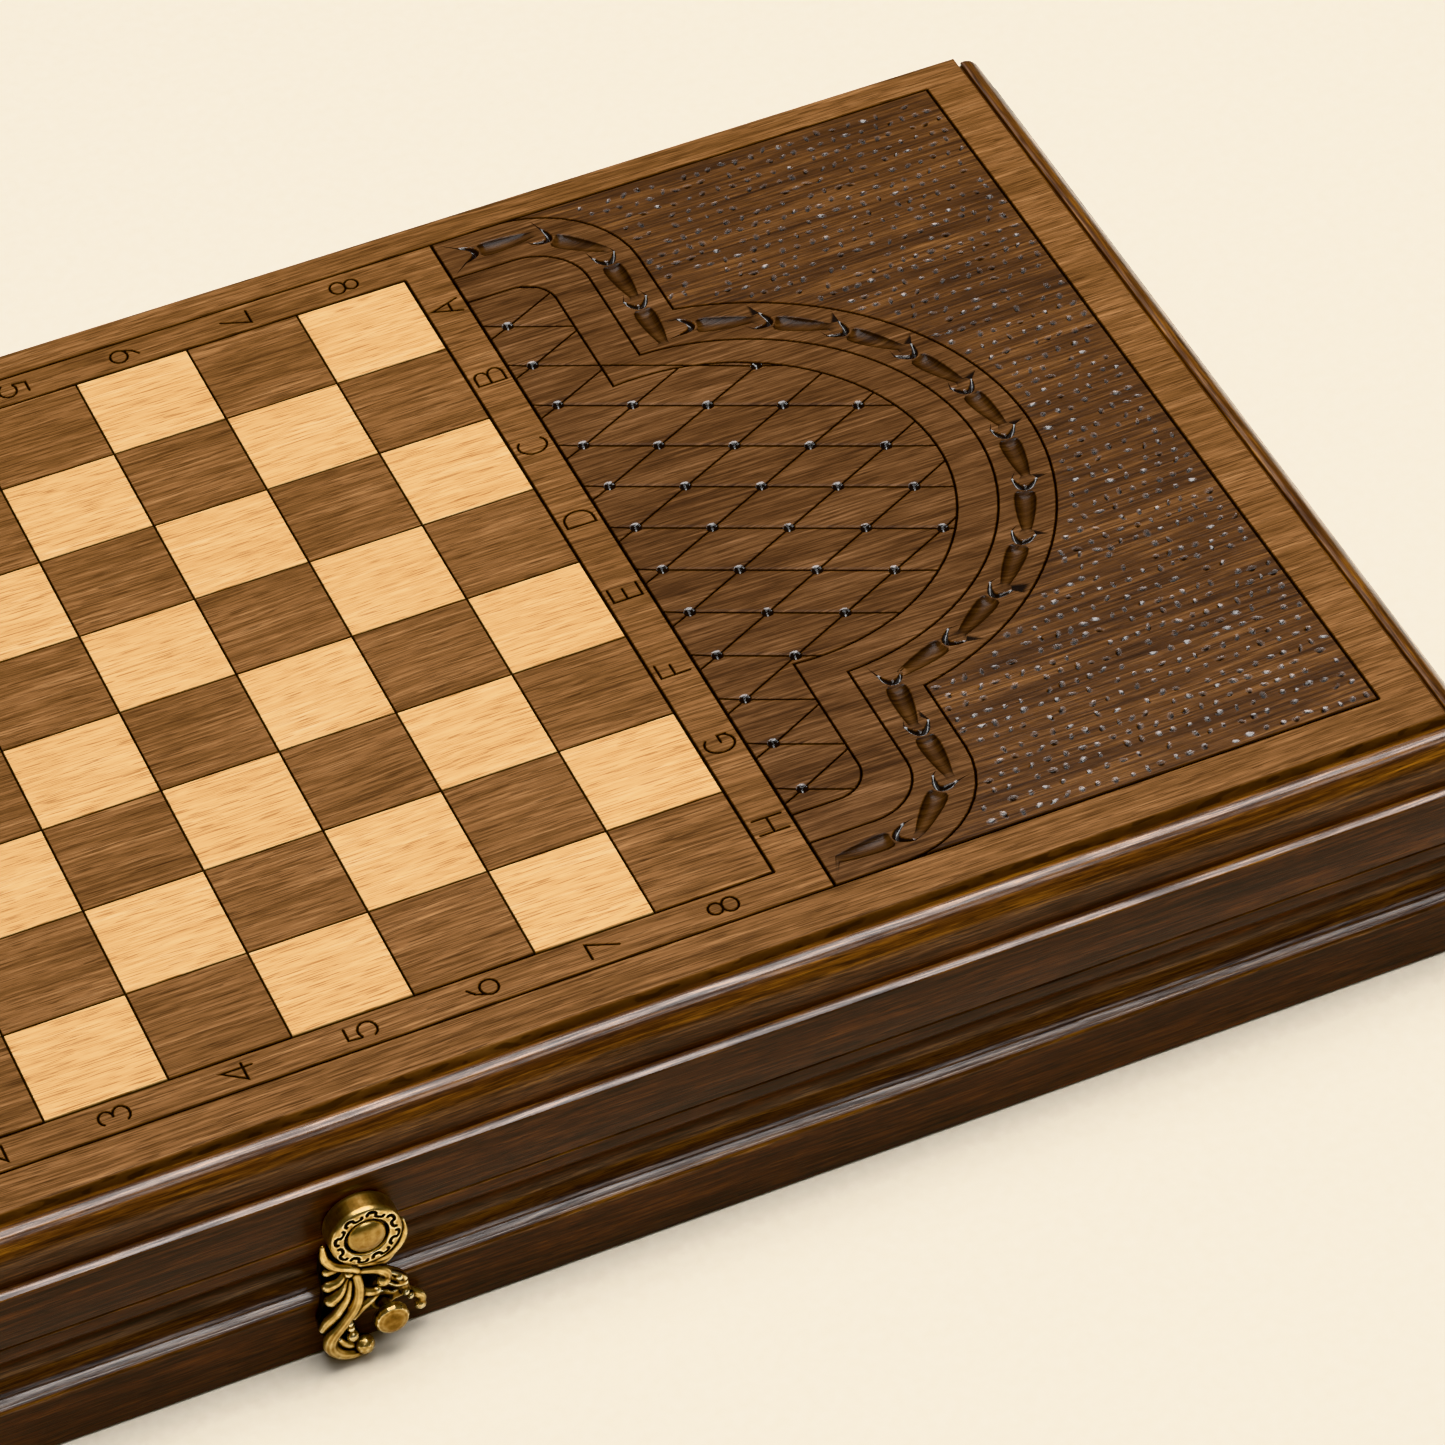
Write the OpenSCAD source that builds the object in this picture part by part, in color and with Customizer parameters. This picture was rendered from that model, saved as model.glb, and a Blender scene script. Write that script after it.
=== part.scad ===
// Folding backgammon case with a carved chess and draughts board on its lid.
// Millimetres, +Z up, +Y to the hinge side. The origin is on the table under the middle of the board.

/* [Board] */
// Side of one square of the board on the lid
square = 25.4; // [24.5:0.1:26.5]

/* [Case] */
// Length of the case over its mouldings
case_length = 501; // [496:1:512]
// Distance from the middle of the board to the front face
front_reach = 130.5; // [129:0.5:133]
// Distance from the middle of the board to the hinge face
rear_reach = 118.1; // [117:0.1:121]
// Height of the base, from the table to its rim
base_height = 31.2; // [30:0.1:34]
// Height of the lid, from its rim to the top of its panel
lid_height = 25.4; // [25:0.1:28]
// Open line between the two rims
rim_gap = 0.3; // [0.2:0.05:0.5]

/* [Rails and boards] */
// Width of the mouldings outside the edge of the panel
moulding_width = 10.1; // [9.6:0.1:11]
// Part of each rail that lies under the panel
rail_ledge = 4; // [3:0.5:6]
// Thickness of the lid panel
panel_thick = 6; // [5:0.5:7]
// Height of the panel above the crest of its moulding
panel_proud = 1.9; // [1:0.1:2.5]
// Thickness of the bottom board
bottom_thick = 4; // [3:0.5:5]
// Thickness of each playing field
field_thick = 3; // [2.5:0.5:4]
// Depth of the inlaid points
inlay = 0.8; // [0.6:0.1:1.2]
// Length of a point, from its base to its tip
point_length = 172; // [150:1:185]

/* [Playing pieces] */
// Diameter of a checker
checker_d = 24; // [20:0.5:24.2]
// Thickness of a checker
checker_h = 8; // [6:0.5:9]
// Side of a die
die_side = 12; // [10:0.5:14]

/* [Hinges] */
// Length of a hinge
hinge_length = 42; // [36:1:50]
// Distance of each hinge from the middle
hinge_offset = 165; // [120:5:180]
// Outer radius of the knuckles
knuckle_r = 2; // [1.8:0.1:2.2]
// Radius of the hinge pins
pin_r = 1; // [0.8:0.05:1.1]
// Thickness of the leaves
leaf_thick = 1.2; // [1:0.1:1.4]

/* [Latch] */
// Height of the latch pivot above the table
pivot_z = 34; // [33.5:0.1:35]
// Outer radius of the pivot boss
boss_r = 7.5; // [7:0.1:8]
// How far the boss stands off the front face
boss_reach = 6.1; // [5.5:0.1:6.5]
// Thickness of the hook's arm
arm_thick = 4.4; // [3.4:0.1:4.6]
// Place of the catch pin along the front
catch_x = 2.6; // [2.6:0.1:3]
// Height of the catch pin above the table
catch_z = 9.4; // [9:0.1:9.8]

/* [Hidden] */
$fn = 48;

walnut_stain = "#5d3a1c";
light_beech = "#dcb27a";
dark_beech = "#4a2a14";
old_brass = "#b98a3a";
hinge_brass = "#c9a75a";

panel_half = case_length / 2 - moulding_width;
panel_front = -front_reach + moulding_width;
panel_top = base_height + rim_gap + lid_height;
panel_under = panel_top - panel_thick;
lid_rim = base_height + rim_gap;
inner_half = panel_half - rail_ledge;
inner_front = panel_front + rail_ledge;
inner_rear = rear_reach - moulding_width - rail_ledge;
rabbet = 5;
eps = 0.01;

// Ovolo of the lid: a quarter of an ellipse between a quirk and a step.
crest_z = panel_top - panel_proud;
step_z = panel_top - 11.8;
quirk_w = 1.6;
quirk_deep = 1;
ovolo_foot = 7.7;
ovolo_flat = 2.3;

// Hollow of the base: a small round running into a cove, then a rolled lip over a flat plinth.
round_z = 28.9;
round_r = 3;
cove = [moulding_width + 0.9, 20.4];
cove_r = 6.4;
lip = [7.68, 14.93];
roll_r = 2.7;

hinge_axis = [rear_reach + 0.2, base_height + rim_gap / 2];
knuckle_clear = 0.3;
knuckle_gap = 0.2;
leaf_wide = 11;
screw_shank_r = 1.2;
screw_head_r = 2.2;
screw_head_h = 0.7;
screw_long = 8;
head_sunk = leaf_thick - screw_head_h;
screw_deep = screw_long + head_sunk + 0.1;
screw_inset = 8;
screw_spread = 13;

catch_shank_r = 1.2;
catch_long = 8;
back_clear = 0.4;
front_face = -front_reach;
boss_front = front_face - boss_reach;
boss_back = front_face - back_clear;

// Points of an arc from angle a0 to a1 about c.
function arc(c, rx, ry, a0, a1, n) =
    [for (i = [0:n]) let (a = a0 + (a1 - a0) * i / n) [c[0] + rx * cos(a), c[1] + ry * sin(a)]];

// Rail sections: first number is the distance out from the panel's edge, second is the height.
function lid_section() = concat(
    [[-rail_ledge, lid_rim], [moulding_width, lid_rim], [moulding_width, step_z]],
    arc([ovolo_flat, step_z], ovolo_foot - ovolo_flat, crest_z - step_z, 0, 90, 12),
    [[quirk_w, crest_z], [quirk_w, crest_z - quirk_deep], [0, crest_z - quirk_deep],
     [0, panel_under], [-rail_ledge, panel_under]]);

cove_angle = atan2(cove[1] - round_z, cove[0] - (moulding_width - round_r));
lip_angle = atan2(lip[1] - cove[1], lip[0] - cove[0]);
function base_section() = concat(
    [[-rail_ledge, bottom_thick], [-rail_ledge, base_height], [moulding_width, base_height]],
    arc([moulding_width - round_r, round_z], round_r, round_r, 0, cove_angle, 6),
    arc(cove, cove_r, cove_r, 180 + cove_angle, 360 + lip_angle, 14),
    arc([moulding_width - roll_r, lip[1] - roll_r], roll_r, roll_r, 84, 0, 6),
    [[moulding_width, 0], [rabbet - rail_ledge, 0], [rabbet - rail_ledge, bottom_thick]]);

// A rail along the front, mitred at both ends.
module front_rail(section) {
    out = moulding_width;
    intersection() {
        translate([0, panel_front, 0]) mirror([0, 1, 0]) rotate([90, 0, 90])
            linear_extrude(case_length, center = true) polygon(section);
        linear_extrude(panel_top) polygon([
            [-panel_half - out, panel_front - out], [panel_half + out, panel_front - out],
            [panel_half - rail_ledge, panel_front + rail_ledge],
            [-panel_half + rail_ledge, panel_front + rail_ledge]]);
    }
}

// A rail along the right side, mitred in front and square at the back.
module right_rail(section) {
    out = moulding_width;
    intersection() {
        translate([panel_half, rear_reach, 0]) rotate([90, 0, 0])
            linear_extrude(rear_reach + front_reach) polygon(section);
        linear_extrude(panel_top) polygon([
            [panel_half + out, panel_front - out], [panel_half + out, rear_reach],
            [panel_half - rail_ledge, rear_reach], [panel_half - rail_ledge, panel_front + rail_ledge]]);
    }
}

module both_hinges() {
    for (side = [-1, 1]) translate([side * hinge_offset, 0, 0]) children();
}

// Room for the knuckles in the rear rails.
module knuckle_notch() {
    both_hinges() translate([0, hinge_axis[0], hinge_axis[1]]) rotate([0, 90, 0])
        cylinder(r = knuckle_r + knuckle_clear, h = hinge_length + 2 * knuckle_clear, center = true);
}

// Shallow bed for a leaf, from height z upwards.
module leaf_bed(z) {
    both_hinges() translate([-hinge_length / 2, hinge_axis[0] - leaf_wide, z])
        cube([hinge_length, leaf_wide, leaf_thick]);
}

// One upright cylinder at each screw of both hinges.
module at_hinge_screws() {
    both_hinges() for (s = [-1, 1])
        translate([s * screw_spread, rear_reach - screw_inset, 0]) children();
}

module base_front_rail() color(walnut_stain) difference() {
    front_rail(base_section());
    translate([catch_x, front_face - eps, catch_z]) rotate([-90, 0, 0])
        cylinder(r = catch_shank_r, h = catch_long + 0.1);
}

// The rabbet for the bottom board stops short of the hinge face.
module base_side_rail() {
    right_rail(base_section());
    translate([inner_half, inner_rear + rabbet, 0])
        cube([rabbet, rear_reach - inner_rear - rabbet, bottom_thick]);
}
module base_left_rail() color(walnut_stain) mirror([1, 0, 0]) base_side_rail();
module base_right_rail() color(walnut_stain) base_side_rail();

module base_rear_rail() color(walnut_stain) difference() {
    translate([-inner_half, inner_rear, 0])
        cube([2 * inner_half, rear_reach - inner_rear, base_height]);
    translate([-panel_half, inner_rear - eps, -eps])
        cube([2 * panel_half, rabbet + eps, bottom_thick + eps]);
    knuckle_notch();
    leaf_bed(base_height - leaf_thick);
    at_hinge_screws() translate([0, 0, base_height - screw_deep])
        cylinder(r = screw_shank_r, h = screw_deep);
}

module base_bottom_board() color(walnut_stain)
    translate([-inner_half - rabbet, inner_front - rabbet, 0])
        cube([2 * (inner_half + rabbet), inner_rear - inner_front + 2 * rabbet, bottom_thick]);

// Six points stand on each short side of a field; every other one is light.
field_w = inner_rear - inner_front;
pitch = field_w / 6;
point_gap = 1.2;
module points(parity, z) {
    for (side = [-1, 1]) for (i = [0:5]) if ((i + (side > 0 ? 1 : 0)) % 2 == parity)
        translate([0, inner_front + pitch * (i + 0.5), z]) linear_extrude(inlay) polygon([
            [side * inner_half, -pitch / 2 + point_gap], [side * inner_half, pitch / 2 - point_gap],
            [side * (inner_half - point_length), 0]]);
}

module field(z, inlay_z) difference() {
    translate([-inner_half, inner_front, z]) cube([2 * inner_half, field_w, field_thick]);
    points(0, inlay_z);
    points(1, inlay_z);
}

base_inlay_z = bottom_thick + field_thick - inlay;
lid_inlay_z = panel_under - field_thick;
module base_field() color(walnut_stain) field(bottom_thick, base_inlay_z);
module base_light_points() color(light_beech) points(0, base_inlay_z);
module base_dark_points() color(dark_beech) points(1, base_inlay_z);
module lid_field() color(walnut_stain) field(panel_under - field_thick, lid_inlay_z);
module lid_light_points() color(light_beech) points(0, lid_inlay_z);
module lid_dark_points() color(dark_beech) points(1, lid_inlay_z);

module lid_front_rail() color(walnut_stain) difference() {
    front_rail(lid_section());
    translate([0, front_face - eps, pivot_z]) rotate([-90, 0, 0]) cylinder(r = 1.5, h = 12);
}
module lid_left_rail() color(walnut_stain) mirror([1, 0, 0]) right_rail(lid_section());
module lid_right_rail() color(walnut_stain) right_rail(lid_section());

module lid_rear_rail() color(walnut_stain) difference() {
    translate([-inner_half, inner_rear, lid_rim])
        cube([2 * inner_half, rear_reach - inner_rear, panel_under - lid_rim]);
    knuckle_notch();
    leaf_bed(lid_rim);
    at_hinge_screws() translate([0, 0, lid_rim]) cylinder(r = screw_shank_r, h = screw_deep);
}

// The board and its carving are cut in the face of this panel.
module lid_panel() color(walnut_stain)
    translate([-panel_half, panel_front, panel_under])
        cube([2 * panel_half, rear_reach - panel_front, panel_thick]);

// Hinges: the base leaf has the two outer knuckles, the lid leaf has the middle one.
knuckle_third = hinge_length / 3;
module knuckle(x, length, grow) {
    translate([x, hinge_axis[0], hinge_axis[1]]) rotate([0, 90, 0])
        cylinder(r = knuckle_r + grow, h = length, center = true);
}

module pin_bore(r) {
    translate([0, hinge_axis[0], hinge_axis[1]]) rotate([0, 90, 0])
        cylinder(r = r, h = hinge_length + 2, center = true);
}

module leaf_plate(z) difference() {
    translate([-hinge_length / 2, hinge_axis[0] - leaf_wide, z])
        cube([hinge_length, leaf_wide, leaf_thick]);
    for (s = [-1, 1]) translate([s * screw_spread, rear_reach - screw_inset, z - eps])
        cylinder(r = screw_head_r, h = leaf_thick + 2 * eps);
}

module base_leaf() difference() {
    union() {
        leaf_plate(base_height - leaf_thick);
        for (s = [-1, 1]) knuckle(s * knuckle_third, knuckle_third, 0);
    }
    knuckle(0, knuckle_third + 2 * knuckle_gap, knuckle_clear);
    pin_bore(pin_r);
}

module lid_leaf() difference() {
    union() {
        leaf_plate(lid_rim);
        knuckle(0, knuckle_third, 0);
    }
    for (s = [-1, 1]) knuckle(s * knuckle_third, knuckle_third + 2 * knuckle_gap, knuckle_clear);
    pin_bore(pin_r + 0.05);
}

module hinge_pin() {
    translate([0, hinge_axis[0], hinge_axis[1]]) rotate([0, 90, 0])
        cylinder(r = pin_r, h = hinge_length, center = true);
}

module hinge_left_base_leaf() color(hinge_brass) translate([-hinge_offset, 0, 0]) base_leaf();
module hinge_right_base_leaf() color(hinge_brass) translate([hinge_offset, 0, 0]) base_leaf();
module hinge_left_lid_leaf() color(hinge_brass) translate([-hinge_offset, 0, 0]) lid_leaf();
module hinge_right_lid_leaf() color(hinge_brass) translate([hinge_offset, 0, 0]) lid_leaf();
module hinge_left_pin() color(hinge_brass) translate([-hinge_offset, 0, 0]) hinge_pin();
module hinge_right_pin() color(hinge_brass) translate([hinge_offset, 0, 0]) hinge_pin();

// A screw with its flat head up, its head's top at the origin.
module leaf_screw() {
    translate([0, 0, -screw_head_h]) cylinder(r = screw_head_r, h = screw_head_h);
    translate([0, 0, -screw_long]) cylinder(r = screw_shank_r, h = screw_long - screw_head_h + eps);
}

module base_hinge_screws() color(hinge_brass)
    at_hinge_screws() translate([0, 0, base_height - head_sunk]) leaf_screw();
module lid_hinge_screws() color(hinge_brass)
    at_hinge_screws() translate([0, 0, lid_rim + head_sunk]) mirror([0, 0, 1]) leaf_screw();

// Checkers lie in three rows of five at each end of the base, two points apart.
row_pitch = checker_d + 0.6;
field_top = bottom_thick + field_thick;
module checkers(side) {
    for (row = [0:2]) for (k = [0:4])
        translate([side * (inner_half - row_pitch * (k + 0.5)), inner_front + pitch * (2 * row + 0.5 +
            (side > 0 ? 1 : 0)), field_top])
            difference() {
                cylinder(d = checker_d, h = checker_h);
                translate([0, 0, checker_h - 1]) difference() {
                    cylinder(d = checker_d * 0.72, h = 2);
                    translate([0, 0, -1]) cylinder(d = checker_d * 0.5, h = 4);
                }
            }
}
module light_checkers() color(light_beech) checkers(-1);
module dark_checkers() color(dark_beech) checkers(1);

module die() {
    translate([0, 0, die_side / 2]) intersection() {
        cube(die_side, center = true);
        sphere(r = die_side * 0.72);
    }
}
module die_one() color("ivory") translate([-14, -60, field_top]) rotate([0, 0, 20]) die();
module die_two() color("ivory") translate([12, -46, field_top]) rotate([0, 0, -35]) die();

// Latch: a cast hook on a screw, and a catch pin with a curled leaf beside it.
module on_front(y) { translate([0, y, 0]) rotate([90, 0, 0]) children(); }

head_recess_r = 4.6;
head_r = 4;
recess_deep = 1.6;
module latch_pivot_screw() color(old_brass) {
    head_back = boss_front + recess_deep - 0.3;
    translate([0, 0, pivot_z]) {
        translate([0, head_back, 0]) rotate([-90, 0, 0])
            cylinder(r = 1.5, h = front_face + 12 - eps - head_back);
        intersection() {
            translate([0, head_back + 2.2, 0]) sphere(r = 4.8);
            translate([0, head_back, 0]) rotate([90, 0, 0]) cylinder(r = head_r, h = 6);
        }
    }
}

// Outline of the hook's arm, from under the boss down to the jaw and back.
arm_outline = [
    [-7.2, 34], [-8.9, 29], [-9.9, 24], [-9.8, 18.5], [-10.6, 15], [-11.9, 11], [-11.6, 7.6],
    [-9.9, 4.6], [-7.6, 2.4], [-5, 1.4], [-3.2, 1.5], [-3.2, 5.2], [-3.8, 8], [-3.8, 11.6],
    [-2.2, 14.2], [0.6, 15.2], [1.4, 17], [3.2, 17.8], [4.3, 19.8], [3.8, 23], [5.8, 25.4], [7.4, 30], [7.2, 34]];
jaw_ball = [-3.3, 3.5];
jaw_ball_r = 1.9;
module latch_hook() color(old_brass) difference() {
    union() {
        translate([0, 0, pivot_z]) on_front(boss_back)
            cylinder(r = boss_r, h = boss_reach - back_clear);
        on_front(boss_back) linear_extrude(arm_thick) polygon(arm_outline);
        on_front(boss_back) translate([jaw_ball[0], jaw_ball[1], arm_thick - 1.2]) sphere(r = jaw_ball_r);
    }
    translate([0, 0, pivot_z]) on_front(boss_back + 1)
        cylinder(r = 1.55, h = boss_reach + 2);
    translate([0, 0, pivot_z]) on_front(boss_front + recess_deep)
        cylinder(r = head_recess_r, h = recess_deep + 1);
}

catch_leaf = [[4.4, 15.2], [6.8, 14.6], [7.3, 11.8], [8.4, 9.2], [10, 6.8]];
catch_leaf_r = 1.5;
catch_head_r = 3.6;
module latch_catch() color(old_brass) {
    on_front(front_face) translate([catch_x, catch_z, 0]) {
        cylinder(r = 2.6, h = 1);
        cylinder(r = 1.3, h = 5);
        translate([0, 0, 4.6]) cylinder(r = catch_head_r, h = 2.6);
        translate([0, 0, -catch_long]) cylinder(r = catch_shank_r, h = catch_long + 0.1);
    }
    on_front(front_face) {
        linear_extrude(2.8) for (i = [0:3]) hull() {
            translate(catch_leaf[i]) circle(r = catch_leaf_r);
            translate(catch_leaf[i + 1]) circle(r = catch_leaf_r);
        }
        translate([catch_x, catch_z - 1.3, 0]) cube([5, 2.6, 1]);
    }
}

base_front_rail();
base_rear_rail();
base_left_rail();
base_right_rail();
base_bottom_board();
base_field();
base_light_points();
base_dark_points();
latch_catch();
hinge_left_base_leaf();
hinge_right_base_leaf();
hinge_left_pin();
hinge_right_pin();
base_hinge_screws();
light_checkers();
dark_checkers();
die_one();
die_two();
lid_front_rail();
lid_rear_rail();
lid_left_rail();
lid_right_rail();
lid_panel();
lid_field();
lid_light_points();
lid_dark_points();
hinge_left_lid_leaf();
hinge_right_lid_leaf();
lid_hinge_screws();
latch_pivot_screw();
latch_hook();
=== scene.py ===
# %% [markdown]
# # A folding backgammon case, made in Blender
# The case is stained beech: two shallow trays hinged along the back, with moulded sides. A chess
# and draughts board is carved in the lid between two carved ornaments. A cast brass hook hangs on
# the lid's front, beside a catch on the base. The frame that is loaded here is the plain working
# model, in metres, with +Y to the hinges and +Z up. It gives every size and place, and it stays
# exactly where it is.

# %% Load the frame
import math
import random

import bmesh
import bpy
import numpy as np
from mathutils import Matrix, Vector
from mathutils.geometry import delaunay_2d_cdt


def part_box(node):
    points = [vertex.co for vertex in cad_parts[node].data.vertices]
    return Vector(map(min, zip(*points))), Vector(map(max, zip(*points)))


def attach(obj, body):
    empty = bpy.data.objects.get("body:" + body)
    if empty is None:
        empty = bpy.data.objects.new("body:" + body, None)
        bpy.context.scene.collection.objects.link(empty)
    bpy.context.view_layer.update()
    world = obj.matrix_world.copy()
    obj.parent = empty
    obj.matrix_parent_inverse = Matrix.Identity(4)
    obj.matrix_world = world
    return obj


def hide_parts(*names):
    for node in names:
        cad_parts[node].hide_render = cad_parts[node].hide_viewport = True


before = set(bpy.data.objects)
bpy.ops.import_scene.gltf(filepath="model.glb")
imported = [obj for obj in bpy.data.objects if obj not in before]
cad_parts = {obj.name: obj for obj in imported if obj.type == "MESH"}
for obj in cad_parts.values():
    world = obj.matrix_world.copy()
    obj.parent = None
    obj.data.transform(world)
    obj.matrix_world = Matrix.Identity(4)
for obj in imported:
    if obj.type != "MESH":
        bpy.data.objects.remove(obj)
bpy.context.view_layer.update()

MM = 0.001
SQUARE = 25.4 * MM  # one square of the board, the size that all the carving follows
panel_low, panel_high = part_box("lid_panel")
TOP = panel_high[2]

# %% [markdown]
# ## Small tools
# A material is a graph of nodes. One helper adds a node, sets it and links it, so that each
# finish below reads as a short list. Colours are written as the hex values a painter would pick
# from a swatch, and one function turns them into the linear numbers that a renderer needs.

# %% Colour and node helpers
def linear(hex_colour):
    """An sRGB hex colour as linear RGBA."""
    channels = [int(hex_colour[i:i + 2], 16) / 255 for i in (1, 3, 5)]
    return [c / 12.92 if c <= 0.04045 else ((c + 0.055) / 1.055) ** 2.4 for c in channels] + [1.0]


def add(tree, kind, settings=None, inputs=None):
    """Adds one node, sets its properties, and sets or links its inputs."""
    node = tree.nodes.new(kind)
    for name, value in (settings or {}).items():
        setattr(node, name, value)
    for socket, value in (inputs or {}).items():
        if isinstance(value, bpy.types.NodeSocket):
            tree.links.new(value, node.inputs[socket])
        else:
            node.inputs[socket].default_value = value
    return node


def ramp(tree, factor, stops):
    """A colour ramp through (position, hex colour) stops."""
    node = add(tree, "ShaderNodeValToRGB", inputs={"Fac": factor})
    elements = node.color_ramp.elements
    while len(elements) < len(stops):
        elements.new(0.5)
    for element, (position, colour) in zip(elements, stops):
        element.position = position
        element.color = linear(colour)
    return node.outputs["Color"]


def new_material(name):
    """An empty material with its shader already wired to the output."""
    material = bpy.data.materials.new(name)
    material.use_nodes = True
    tree = material.node_tree
    tree.nodes.clear()
    shader = add(tree, "ShaderNodeBsdfPrincipled")
    add(tree, "ShaderNodeOutputMaterial", inputs={"Surface": shader.outputs["BSDF"]})
    return material, tree, shader


# %% Mesh helpers
def new_object(name, mesh):
    obj = bpy.data.objects.new(name, mesh)
    bpy.context.scene.collection.objects.link(obj)
    return obj


def mesh_from(name, verts, faces):
    mesh = bpy.data.meshes.new(name)
    mesh.from_pydata([tuple(v) for v in verts], [], [tuple(f) for f in faces])
    mesh.validate()
    return mesh


def face_outwards(mesh):
    """Merges doubled points and turns every face of a closed mesh outwards."""
    work = bmesh.new()
    work.from_mesh(mesh)
    bmesh.ops.remove_doubles(work, verts=work.verts, dist=1e-7)
    bmesh.ops.recalc_face_normals(work, faces=work.faces)
    work.to_mesh(mesh)
    work.free()


def smooth_by_angle(mesh, degrees=32):
    """Smooth shading that keeps edges sharper than the angle crisp."""
    work = bmesh.new()
    work.from_mesh(mesh)
    limit = math.radians(degrees)
    for face in work.faces:
        face.smooth = True
    for edge in work.edges:
        edge.smooth = len(edge.link_faces) == 2 and edge.calc_face_angle(0) < limit
    work.to_mesh(mesh)
    work.free()


def finish_piece(obj, body, replaced=(), materials=()):
    """Gives a piece its materials, ties it to its body and hides the working parts it replaces."""
    for material in materials:
        obj.data.materials.append(material)
    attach(obj, body)
    if replaced:
        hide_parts(*replaced)
    print(obj.name, len(obj.data.polygons), "faces, rides on", body)


# %% [markdown]
# ## Stained and natural beech
# Beech is pale and close-grained. Seen close, it has faint long streaks and many short brown
# flecks, up to 6 mm long and a fifth of a millimetre wide. Stain sinks unevenly and makes the
# streaks stronger. Image textures would need painting and seams; noise stretched along the grain
# gives streaks and flecks at their real size on every face, and cut ends come out right too.
# The cuts are painted dark towards their bottoms, as painted shade for the shade that falls in
# grooves, notches, pits and punch marks; the finish reads how dark each point is painted from an
# attribute on the mesh named "cut". On the rails the lacquer lies thick on what faces up and was
# wiped off what stands upright, and the upright faces are painted darker as painted shade, so there
# the finish follows the surface's own direction.

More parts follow.
